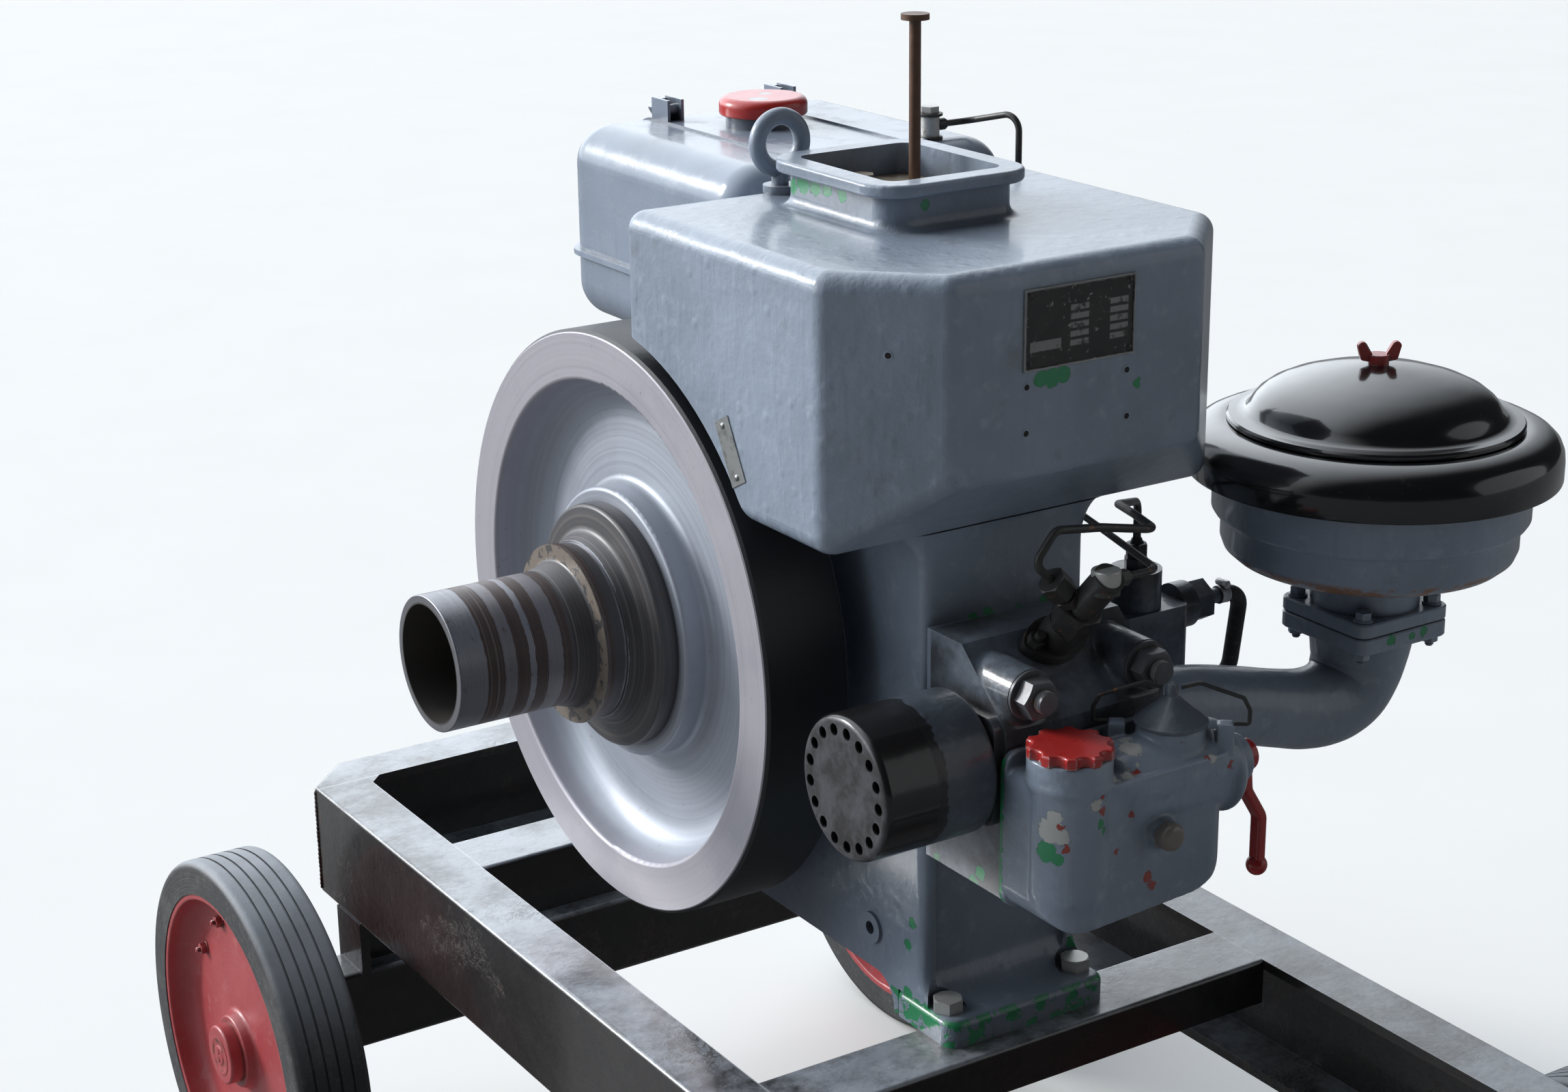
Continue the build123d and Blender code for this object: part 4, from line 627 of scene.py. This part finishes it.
neck_chips = [(-66, 60, 1128, 7), (-66, 44, 1133, 9), (-66, 26, 1133, 8), (-66, 8, 1134, 7),
              (-66, -14, 1133, 6), (-30, -79, 1131, 5)]
plate_chips = [(-30, -235, 1021, 7), (-20, -235, 1020, 8), (-9, -235, 1021, 7), (66, -235, 1003, 4)]
foot_chips = [(-84, -132, 462, 7), (-84, -146, 455, 8), (-84, -160, 458, 7), (-82, -138, 532, 5),
              (-82, -132, 509, 5), (78, -156, 490, 6), (78, -156, 477, 6), (78, -156, 462, 6)]
ledge_chips = [(-35, -158, 803, 5), (-19, -157, 803, 5), (11, -158, 803, 4), (38, -158, 803, 5)]
head_chips = [(-80, -230, 614, 6), (-80, -221, 603, 6), (-80, -191, 742, 5), (-80, -170, 604, 5)]
flange_chips = [(-86, -263, z, 5) for z in range(606, 741, 9)]
cover_green = [*flange_chips, (-86, -322, 669, 9), (-80, -331, 664, 5), (-48, -343, 691, 4),
               (-45, -343, 684, 3)]
cover_pale = [(-85, -324, 687, 10), (-81, -327, 699, 7), (-78, -333, 683, 6), (-54, -343, 708, 5),
              (-30, -334, 720, 5), (-16, -334, 722, 6), (-4, -334, 729, 5), (2, -318, 741, 13),
              (7, -301, 741, 9), (0, -335, 739, 9), (66, -340, 718, 4), (-84, -322, 745, 5)]
cover_red = [(-79, -332, 692, 3), (-76, -335, 674, 3), (-47, -343, 702, 4), (-50, -343, 714, 3),
             (-14, -334, 714, 5), (-8, -334, 722, 3), (-11, -334, 686, 3), (-27, -335, 660, 3),
             (7, -334, 628, 5), (11, -334, 620, 4), (40, -338, 737, 5), (84, -338, 709, 5),
             (60, -340, 722, 3)]
cover_brown = [(20, -349, 663, 15)]
elbow_green = [(384, -252, 732, 5), (346, -252, 731, 5), (370, -252, 730, 4), (417, -230, 722, 5)]

cast_paint("blue_grey_paint")
cast_paint("block_paint", neck_chips + plate_chips + foot_chips + ledge_chips, green_below=460)
cast_paint("head_paint", head_chips, oily=0.80, shade=0.75)
cast_paint("cover_paint", cover_green, cover_pale, cover_red, cover_brown)
cast_paint("elbow_paint", elbow_green)
cast_paint("pot_paint", black_left_of=exhaust_paint_x, shade=0.30)
cast_paint("cone_paint", shade=0.36)
cast_paint("bowl_paint", rusty_band=(787, 803))
cast_paint("pump_paint", oily=0.85, shade=0.6)
sheet_paint("sheet_paint", [(-62, 146, 1000, 6), (60, 144, 996, 5)])
frame_paint()
gloss_black()
cap_paint()
red_paint("red_paint", (0.32, 0.014, 0.014), (0.50, 0.036, 0.032), 0.20)
red_paint("tank_cap_paint", (0.40, 0.016, 0.014), (0.58, 0.040, 0.034), 0.26,
          [(70, 330, 1152, 9), (92, 352, 1152, 6)])
wheel_paint()
rubber("tyre_rubber", (0.026, 0.027, 0.030), (0.052, 0.054, 0.058), True)
rubber("hose_rubber", (0.010, 0.010, 0.011), (0.025, 0.025, 0.026))
spun_iron()
banded_steel()
plain_steel("zinc_steel", (0.42, 0.42, 0.40), (0.64, 0.64, 0.62), 0.5, 0.30, 0.50, 0.02)
plain_steel("nut_steel", (0.065, 0.070, 0.080), (0.16, 0.165, 0.18), 0.2, 0.26, 0.50, 0.02)
plain_steel("oily_steel", (0.024, 0.024, 0.024), (0.085, 0.084, 0.082), 0.3, 0.24, 0.50, 0.02)
neck_iron()
plain_steel("rusty_steel", (0.070, 0.040, 0.028), (0.19, 0.105, 0.066), 0.3, 0.35, 0.60, 0.06)
plate_metal()
# near black, for holes: painted shade in them
plain_steel("dark_hole", (0.010, 0.010, 0.010), (0.024, 0.022, 0.020), 0.0, 0.5, 0.8)

# The CAD nodes whose material is a finer one than that of their slot
finer = {"cylinder_block": "block_paint", "cylinder_head": "head_paint", "rocker_cover": "cover_paint",
         "intake_elbow": "elbow_paint", "exhaust_pot": "pot_paint", "fuel_tank": "sheet_paint",
         "tank_straps": "sheet_paint", "exhaust_cap": "exhaust_cap_paint", "tank_cap": "tank_cap_paint",
         "cleaner_bowl": "bowl_paint", "injection_pump": "pump_paint", "fuel_filter": "pump_paint",
         "head_nuts": "nut_steel", "cone_cap": "cone_paint"}


def dress_all():
    """Every CAD node takes the finish of its slot in the record, or that finish with its own wear."""
    for part in frame["record"]["subparts"]:
        slots = nodes[part["node"]].data.materials
        slots.clear()
        slots.append(materials[finer.get(part["node"], part["material_slot"])])


def circle(steps):
    """The cosine and sine of as many directions, evenly spaced round a circle."""
    return [(math.cos(2 * math.pi * i / steps), math.sin(2 * math.pi * i / steps)) for i in range(steps)]


def smoothed(rows, steps):
    """The rows with others put between them on a smooth line."""
    made = []
    last = len(rows) - 1
    for i in range(last):
        four = [rows[max(i - 1, 0)], rows[i], rows[i + 1], rows[min(i + 2, last)]]
        for step in range(steps):
            t = step / steps
            made.append(tuple(0.5 * (2 * b + (c - a) * t + (2 * a - 5 * b + 4 * c - d) * t * t
                                     + (3 * b - a - 3 * c + d) * t ** 3) for a, b, c, d in zip(*four)))
    return made + [rows[last]]


class Pile:
    """A new piece, gathered from small forms in mesh code."""

    def __init__(self):
        self.mesh = bmesh.new()

    def rings(self, loops, closed_ends=True):
        """Skins a row of loops of points, given in the row frame."""
        made = [[self.mesh.verts.new(point) for point in loop] for loop in loops]
        count = len(made[0])
        for first, second in zip(made, made[1:]):
            for i in range(count):
                j = (i + 1) % count
                self.mesh.faces.new((first[i], first[j], second[j], second[i]))
        if closed_ends:
            self.mesh.faces.new(list(reversed(made[0])))
            self.mesh.faces.new(made[-1])

    def turned(self, place, direction, profile, steps=24):
        """A form turned round a line: rows of radius and distance along, in millimetres."""
        turn = Vector(direction).to_track_quat("Z", "Y").to_matrix()
        base = at(*place)
        self.rings([[base + turn @ Vector((r * cosine, r * sine, along)) / 1000
                     for cosine, sine in circle(steps)] for r, along in profile])

    def swept(self, path, y, steps=40):
        """A round pipe along a level line of y: rows of x, z and radius, in millimetres, smoothed."""
        rows = smoothed(path, 6)
        loops = []
        for i, (x, z, r) in enumerate(rows):
            before = rows[max(i - 1, 0)]
            after = rows[min(i + 1, len(rows) - 1)]
            ahead = Vector((after[0] - before[0], 0, after[1] - before[1])).normalized()
            lift = Vector((-ahead.z, 0, ahead.x))
            loops.append([at(x, y, z) + (lift * cosine + Vector((0, 1, 0)) * sine) * r / 1000
                          for cosine, sine in circle(steps)])
        self.rings(loops)

    def square(self, centre, direction, half, r, low, high, edge=1.2):
        """A square flange with rounded corners and softened edges, between two distances along a line."""
        turn = Vector(direction).to_track_quat("Z", "Y").to_matrix()
        base = at(*centre)
        loops = []
        for inset, along in ((edge, low), (0, low + edge), (0, high - edge), (edge, high)):
            loop = []
            for i in range(40):
                corner = i // 10
                cx = (half - r) * (1 if corner in (0, 3) else -1)
                cy = (half - r) * (1 if corner in (0, 1) else -1)
                turned = math.radians(90) * corner + math.radians(90) * (i % 10) / 9
                loop.append(base + turn @ Vector((cx + (r - inset) * math.cos(turned),
                                                  cy + (r - inset) * math.sin(turned), along)) / 1000)
            loops.append(loop)
        self.rings(loops)

    def hexagon(self, place, direction, flats, height, lift=0.0, twist=0.0):
        """A hexagon nut or bolt head with its corners rounded off towards the top."""
        turn = Vector(direction).to_track_quat("Z", "Y").to_matrix()
        base = at(*place)
        steps = 48
        half = flats / 2
        face_r = half * 0.95
        loops = [[], [], []]
        for i in range(steps):
            angle = 2 * math.pi * i / steps + twist
            folded = (angle - twist) % (math.pi / 3) - math.pi / 6
            r = half / math.cos(folded)
            drop = (r - face_r) * 0.55
            for loop, radius, along in ((loops[0], r, lift), (loops[1], r, lift + height - drop),
                                        (loops[2], face_r, lift + height)):
                loop.append(base + turn @ Vector((radius * math.cos(angle), radius * math.sin(angle),
                                                  along)) / 1000)
        self.rings(loops)

    def thread(self, place, direction, dia, length, lift=0.0, pitch=1.5):
        """The threaded end of a stud."""
        r = dia / 2
        profile = [(r - 0.7, lift)]
        for i in range(int(length / pitch)):
            along = lift + i * pitch
            profile += [(r, along + pitch * 0.5), (r - 0.7, along + pitch)]
        profile += [(r - 1.2, profile[-1][1] + 0.8)]
        self.turned(place, direction, profile)

    def bolt(self, place, direction, flats, twist=0.0):
        """A washer with a hexagon head on it."""
        washer = flats * 0.16
        self.turned(place, direction, [(flats * 0.60, 0), (flats * 0.66, 0.3), (flats * 0.66, washer - 0.3),
                                       (flats * 0.62, washer)])
        self.hexagon(place, direction, flats, flats * 0.55, washer, twist)

    def rivet(self, place, direction, r):
        """A low domed rivet head."""
        self.turned(place, direction, [(r, -0.2), (r, 0.2), (r * 0.85, r * 0.30), (r * 0.5, r * 0.5),
                                       (r * 0.12, r * 0.56)], 20)

    def weld(self, start, end, r):
        """A weld bead between two points, with its ripples."""
        first = at(*start)
        last = at(*end)
        line = last - first
        turn = line.to_track_quat("Z", "Y").to_matrix()
        steps = max(6, int(line.length * 1000 / 1.6))
        loops = []
        for i in range(steps + 1):
            share = i / steps
            swell = 0.86 + 0.14 * math.sin(i * 2.1) + 0.06 * math.sin(i * 0.37)
            if i in (0, steps):
                swell *= 0.4
            centre = first + line * share
            loops.append([centre + turn @ Vector((cosine, sine, 0)) * r * swell / 1000
                          for cosine, sine in circle(10)])
        self.rings(loops)

    def piece(self, name, slot, material=None, body="trolley_and_engine"):
        """Makes the piece, smooth but for its sharp edges, and lets it ride on its body."""
        bmesh.ops.recalc_face_normals(self.mesh, faces=self.mesh.faces)
        data = bpy.data.meshes.new(name)
        self.mesh.to_mesh(data)
        self.mesh.free()
        data.polygons.foreach_set("use_smooth", [True] * len(data.polygons))
        data.set_sharp_from_angle(angle=math.radians(crease_angle))
        made = bpy.data.objects.new(name, data)
        scene.collection.objects.link(made)
        data.materials.append(materials[material or slot])
        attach(made, body)
        return made


def make_wheel_bolts():
    """Three pairs of bolts through each wheel's disc, with their nuts."""
    for end, axle_y in (("front", axle_front_y), ("rear", axle_rear_y)):
        for side, hand in (("left", -1), ("right", 1)):
            pile = Pile()
            for third in range(3):
                turn = 2 * math.pi * third / 3
                for across, up in ((102, 70), (53, 121)):
                    r = math.hypot(across, up)
                    angle = math.atan2(up, across) + turn
                    face = disc_dish_out + disc_dish_rise * (disc_lip_r - r) / (disc_lip_r - disc_dish_r)
                    place = (hand * (wheel_track / 2 + face - 0.3), axle_y + r * math.cos(angle),
                             wheel_z + r * math.sin(angle))
                    pile.bolt(place, (hand, 0, 0), 11, angle)
                    pile.thread(place, (hand, 0, 0), 6, 4.0, 7.6, 1.0)
            cap = (hand * (wheel_track / 2 + hub_cap_out), axle_y, wheel_z)
            pile.turned(cap, (hand, 0, 0), [(21, -0.3), (21, 0.4), (20, 0.7), (18, 0.7), (17, 0.2),
                                            (11, 0.2), (10, 0.9), (8.5, 1.2)], 40)
            for z in (-4.4, 4.4):
                pile.turned((cap[0] + hand * 1.1, cap[1], cap[2] + z), (hand, 0, 0),
                            [(3.0, 0), (3.0, 0.5), (2.4, 0.8)], 4)
            pile.piece("wheel_bolts_" + end + "_" + side, "red_wheel_paint",
                       body="wheel_" + end + "_" + side)


def make_plate_trim():
    """Raised border and rivets of the nameplate, and the small tag's rivets."""
    pile = Pile()
    y = hopper_front_y - 1.0

    def corners(inset, lift):
        """The plate's four corners, drawn in and raised."""
        left, right = plate_left_x + inset, plate_right_x - inset
        low, high = plate_low_z + inset, plate_high_z - inset
        return [at(x, y - lift, z) for x, z in ((left, low), (right, low), (right, high), (left, high))]

    pile.rings([corners(0, -0.2), corners(0.4, 0.7), corners(2.2, 0.7), corners(2.2, -0.2)],
               closed_ends=False)
    for x in (plate_left_x + 5.5, plate_right_x - 5.5):
        for z in (plate_low_z + 5.5, plate_high_z - 5.5):
            pile.rivet((x, y, z), (0, -1, 0), 2.8)
    tag_y = crank_y - tag_reach * math.cos(math.radians(tag_bearing))
    tag_z = crank_z + tag_reach * math.sin(math.radians(tag_bearing))
    tilt = math.radians(tag_tilt)
    for step in (-22, 22):
        pile.rivet((hopper_left_x - 1, tag_y + step * math.cos(tilt), tag_z + step * math.sin(tilt)),
                   (-1, 0, 0), 2.8)
    pile.piece("plate_trim", "plate_aluminium")


def make_threaded_holes():
    """Small threaded holes in the hopper's front and cut corner, each with its bare rim and a near-black
    disc in it as the hole's painted shade.
    """
    rims = Pile()
    # painted shade: near-black discs in the holes
    holes = Pile()
    front = [((x, hopper_front_y, z), (0, -1, 0))
             for x, z in ((-44, 1016), (55, 1015), (-44, 979), (56, 977))]
    for place, direction in [*front, ((-150, -200, 1050), (-0.7071, -0.7071, 0))]:
        rims.turned(place, direction, [(4.0, -0.2), (3.8, 0.3), (3.2, 0.5), (2.5, 0.4), (2.4, -0.2)])
        holes.turned(place, direction, [(2.5, -0.2), (2.4, 0.25), (1.2, 0.30), (0.2, 0.20)])
    rims.piece("hole_rims", "blue_grey_paint")
    holes.piece("hole_bottoms", "oily_steel", "dark_hole")


def make_unions():
    """Union nuts on the pipes, the banjo's washers and the injector's collar."""
    pile = Pile()
    pump = (184, -100, 797)
    pile.hexagon(pump, (0, 0, 1), 17, 13)
    pile.turned(pump, (0, 0, 1), [(6.5, 13), (5.4, 14.5), (4.6, 17), (3.6, 18)])
    banjo = (166, 188, tank_top_z + 12)
    pile.turned((banjo[0], banjo[1], tank_top_z), (0, 0, 1), [(12, 0), (12, 2), (11, 2.4)])
    pile.turned((banjo[0], banjo[1], tank_top_z + 21), (0, 0, 1),
                [(11.5, 0), (12, 0.4), (12, 2.6), (11, 3)])
    pile.turned((banjo[0] + 8, banjo[1], banjo[2]), (1, 0, 0), [(5.5, 0), (5.5, 8), (4.2, 10)])
    tip = (12, injector_tip_y, injector_tip_z - 10)
    pile.hexagon(tip, (1, 0, 0), 12, 8, 1.0)
    pile.turned(tip, (1, 0, 0), [(4.6, 9), (4.2, 12), (3.2, 13)])
    pile.piece("pipe_unions", "oily_steel")


def clamp_ring(pile, place, direction, screw, r):
    """A hose clamp: a band with rolled edges, its screw housing and slotted screw head."""
    pile.turned(place, direction, [(r - 0.4, -5), (r + 0.7, -5), (r + 1.0, -4.2), (r + 0.7, -3.6),
                                   (r + 0.7, 3.6), (r + 1.0, 4.2), (r + 0.7, 5), (r - 0.4, 5)], 40)
    base = Vector(place) + Vector(screw) * (r + 3.0)
    across = Vector(direction).cross(Vector(screw))
    start = base - across * 6
    pile.turned(tuple(start), tuple(across), [(3.0, 0), (3.3, 0.5), (3.3, 9.5), (3.0, 10)], 16)
    pile.hexagon(tuple(start + across * 10), tuple(across), 7, 3.6)


def make_clamps():
    """A clamp at each end of the fuel hose."""
    pile = Pile()
    clamp_ring(pile, (285, -100, 742), (1, 0, 0), (0, 0, 1), 7.6)
    clamp_ring(pile, (190, 280, 932), (0, 0, 1), (1, 0, 0), 7.6)
    pile.piece("hose_clamps", "zinc_steel")


def make_cleaner():
    """Air cleaner's bowl on its neck and flange, rolled brim and domed lid."""
    place = (intake_x, intake_y, 0)
    up = (0, 0, 1)
    bowl = Pile()
    bowl.square(place, up, intake_flange_half, intake_flange_r, bowl_flange_z - 12.5, bowl_flange_z)
    bowl.turned(place, up, [(47, 749), (48, 752), (48, 776), (54, 785), (92, 786.5), (106, 789), (118, 794),
                            (126, 801), (129, 809), (129, 825), (130.5, 829), (135, 832), (137.5, 836),
                            (137.5, 880)], 120)
    made = bowl.piece("bowl_shell", "blue_grey_paint", "bowl_paint")
    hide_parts("cleaner_bowl")
    brim = Pile()
    brim.turned(place, up, [(110, 873), (156, 873), (159, 871), (161, 871.5), (161.5, 873), (161.5, 888),
                            (160.6, 896), (157.6, 903), (152, 908.5), (145, 912), (137, 914), (131, 914.8),
                            (126, 914)], 144)
    made = brim.piece("brim_shell", "gloss_black_paint")
    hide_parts("cleaner_brim")
    lid = Pile()
    lid.turned(place, up, [(110, 913), (126, 914.6), (127.5, 915.6), (127.5, 918.6), (126, 920.4),
                           (120, 921), (114, 921.6), (110.5, 924), (107, 930), (102, 936.5), (93, 943.5),
                           (80, 949.8), (62, 955.6), (42, 960), (22, 963.4), (9, 965)], 144)
    made = lid.piece("lid_shell", "gloss_black_paint")
    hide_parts("cleaner_lid")


def make_elbow():
    """The intake elbow: a casting that dips from the head's port and swells up to its flange."""
    pile = Pile()
    pile.square((0, intake_y, port_z), (1, 0, 0), 38, 12, 80, port_flange_x)
    pile.square((intake_x, intake_y, 0), (0, 0, 1), intake_flange_half, intake_flange_r, elbow_flange_z,
                elbow_flange_z + 14.5)
    pile.swept([(94, 704, 38), (104, 703.5, 35), (130, 701, 34), (170, 694, 34), (215, 683, 34),
                (260, 670, 34.5), (295, 661.5, 36), (325, 661, 37.5), (346, 670, 39), (357, 687, 41),
                (361, 706, 44), (362, 724, 47)], intake_y)
    made = pile.piece("elbow_casting", "blue_grey_paint", "elbow_paint")
    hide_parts("intake_elbow")


def ease_between(value, low, high):
    """0 at low, 1 at high and smooth between; low may be the larger."""
    t = min(max((value - low) / (high - low), 0.0), 1.0)
    return t * t * (3 - 2 * t)


def make_rocker_cover():
    """The rocker cover as one soft casting: its front set back beside the filler's round column."""
    pile = Pile()
    pile.mesh.from_mesh(nodes["rocker_cover"].data)
    for corner in pile.mesh.verts:
        x = (corner.co.x - datum_x) * 1000
        y = (corner.co.y - datum_y) * 1000
        z = corner.co.z * 1000
        share = ease_between(x, -30, -12) * ease_between(x, 97, 93) * ease_between(y, -296, -326)
        corner.co.y += 0.009 * share * ease_between(z, 716, 690)
    pile.turned((-55, -311, 0), (0, 0, 1), [(20, 604), (27, 607), (31, 614), (32.5, 626), (32.5, 708),
                                           (33.5, 714), (35, 718), (35, 722), (33.5, 725)], 64)
    pile.turned((93, -306, 694), (1, 0, 0), [(24, -3), (25.5, 0), (25.5, 5), (24, 7), (21, 8)], 48)
    made = pile.piece("cover_casting", "blue_grey_paint", "cover_paint")
    melt = made.modifiers.new("melt", "REMESH")
    melt.mode = "VOXEL"
    melt.voxel_size = 0.0013
    melt.use_smooth_shade = True
    soften = made.modifiers.new("soften", "SMOOTH")
    soften.factor = 0.5
    soften.iterations = 6
    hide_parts("rocker_cover")


def make_cover_bolts():
    """Bolts of the side, rear and bearing covers, and of the intake's flanges."""
    painted = Pile()
    side_x = block_half_width + 28
    for y, z in ((60, 585), (60, 825), (335, 585), (335, 825), (200, 578), (200, 832), (52, 705),
                 (345, 705)):
        painted.bolt((side_x, y, z), (1, 0, 0), 13, y / 50)
    for x in (-50, 50):
        for z in (514, 645, 776):
            painted.bolt((x, 435, z), (0, 1, 0), 13, z / 70)
    for i in range(8):
        angle = math.pi / 8 + i * math.pi / 4
        painted.bolt((-block_half_width - 22, crank_y + 88 * math.cos(angle),
                      crank_z + 88 * math.sin(angle)), (-1, 0, 0), 13, angle)
    for dx in (-41, 41):
        for dy in (-41, 41):
            painted.bolt((intake_x + dx, intake_y + dy, bowl_flange_z), (0, 0, 1), 13, dx / 30)
            under = (intake_x + dx, intake_y + dy, elbow_flange_z)
            painted.hexagon(under, (0, 0, -1), 13, 7)
            painted.thread(under, (0, 0, -1), 8, 5, 6)
    for dy in (-28, 28):
        for dz in (-28, 28):
            painted.bolt((port_flange_x, intake_y + dy, port_z + dz), (1, 0, 0), 11, dy / 20)
    painted.piece("cover_bolts", "blue_grey_paint")


def make_welds():
    """Weld beads at the frame's corners, where its plates and channels meet."""
    pile = Pile()
    w = frame_half_width
    c = frame_corner_cut
    for side in (-1, 1):
        for end_y, inward in ((frame_front_y, 1), (frame_rear_y, -1)):
            for x, y in ((side * (w - c), end_y), (side * w, end_y + inward * c)):
                pile.weld((x - side * 0.6, y + inward * 0.6, frame_bottom_z + 4),
                          (x - side * 0.6, y + inward * 0.6, frame_top_z - 4), 2.6)
    pile.piece("frame_welds", "black_frame_paint")


def make_studs():
    """Threads on the head's stud ends, and the bright cap on the injector's tip."""
    pile = Pile()
    for x in (-58.5, 58.5):
        pile.thread((x, -280, 775), (0, -1, 0), 18.6, 7.4, 0.0)
    pile.turned((0, injector_tip_y, injector_tip_z), (0, 0, 1),
                [(11.7, -12), (12.0, -11), (12.0, -0.8), (11.2, 0.3), (8, 0.5)], 40)
    pile.piece("stud_threads", "zinc_steel")


def make_stage():
    """Pale floor, a sky that is bright behind the engine, a key sun and a weak, broad fill."""
    mesh = bpy.data.meshes.new("floor")
    mesh.from_pydata([(x * floor_half, y * floor_half, 0) for x, y in ((-1, -1), (1, -1), (1, 1), (-1, 1))],
                     [], [(0, 1, 2, 3)])
    floor = bpy.data.objects.new("floor", mesh)
    scene.collection.objects.link(floor)
    s = Surface("floor")
    path = s.node("LightPath").outputs
    pale = s.blend(s.noise(3, 4), (0.80, 0.80, 0.79), (0.84, 0.84, 0.83))
    unseen = s.blend(path["Is Glossy Ray"], (0.34, 0.34, 0.34), (0.12, 0.12, 0.12))
    s.finish(s.blend(path["Is Camera Ray"], unseen, pale), s.span(s.noise(9, 3), 0.75, 0.9))
    floor.data.materials.append(s.material)
    world = bpy.data.worlds.new("studio")
    scene.world = world
    world.use_nodes = True
    tree = world.node_tree
    light = tree.nodes["Background"]
    light.inputs["Color"].default_value = sky_colour
    way = tree.nodes.new("ShaderNodeTexCoord")
    toward = tree.nodes.new("ShaderNodeVectorMath")
    toward.operation = "DOT_PRODUCT"
    toward.inputs[1].default_value = Vector(sky_axis).normalized()
    spread = tree.nodes.new("ShaderNodeMapRange")
    spread.interpolation_type = "SMOOTHSTEP"
    spread.inputs["From Min"].default_value = sky_start
    spread.inputs["From Max"].default_value = sky_full
    spread.inputs["To Min"].default_value = sky_dim
    spread.inputs["To Max"].default_value = sky_bright
    tree.links.new(way.outputs["Generated"], toward.inputs[0])
    tree.links.new(toward.outputs["Value"], spread.inputs["Value"])
    tree.links.new(spread.outputs["Result"], light.inputs["Strength"])
    for name, (stand, strength, wide, colour) in suns.items():
        data = bpy.data.lights.new(name, "SUN")
        data.energy = strength
        data.angle = math.radians(wide)
        data.color = colour
        lamp = bpy.data.objects.new(name, data)
        lamp.rotation_euler = Vector(stand).to_track_quat("Z", "Y").to_euler()
        scene.collection.objects.link(lamp)
    scene.view_settings.view_transform = "Standard"


make_camera()
make_stage()
dress_all()
make_wheel_bolts()
make_plate_trim()
make_threaded_holes()
make_unions()
make_clamps()
make_cleaner()
make_elbow()
make_rocker_cover()
make_cover_bolts()
make_welds()
make_studs()
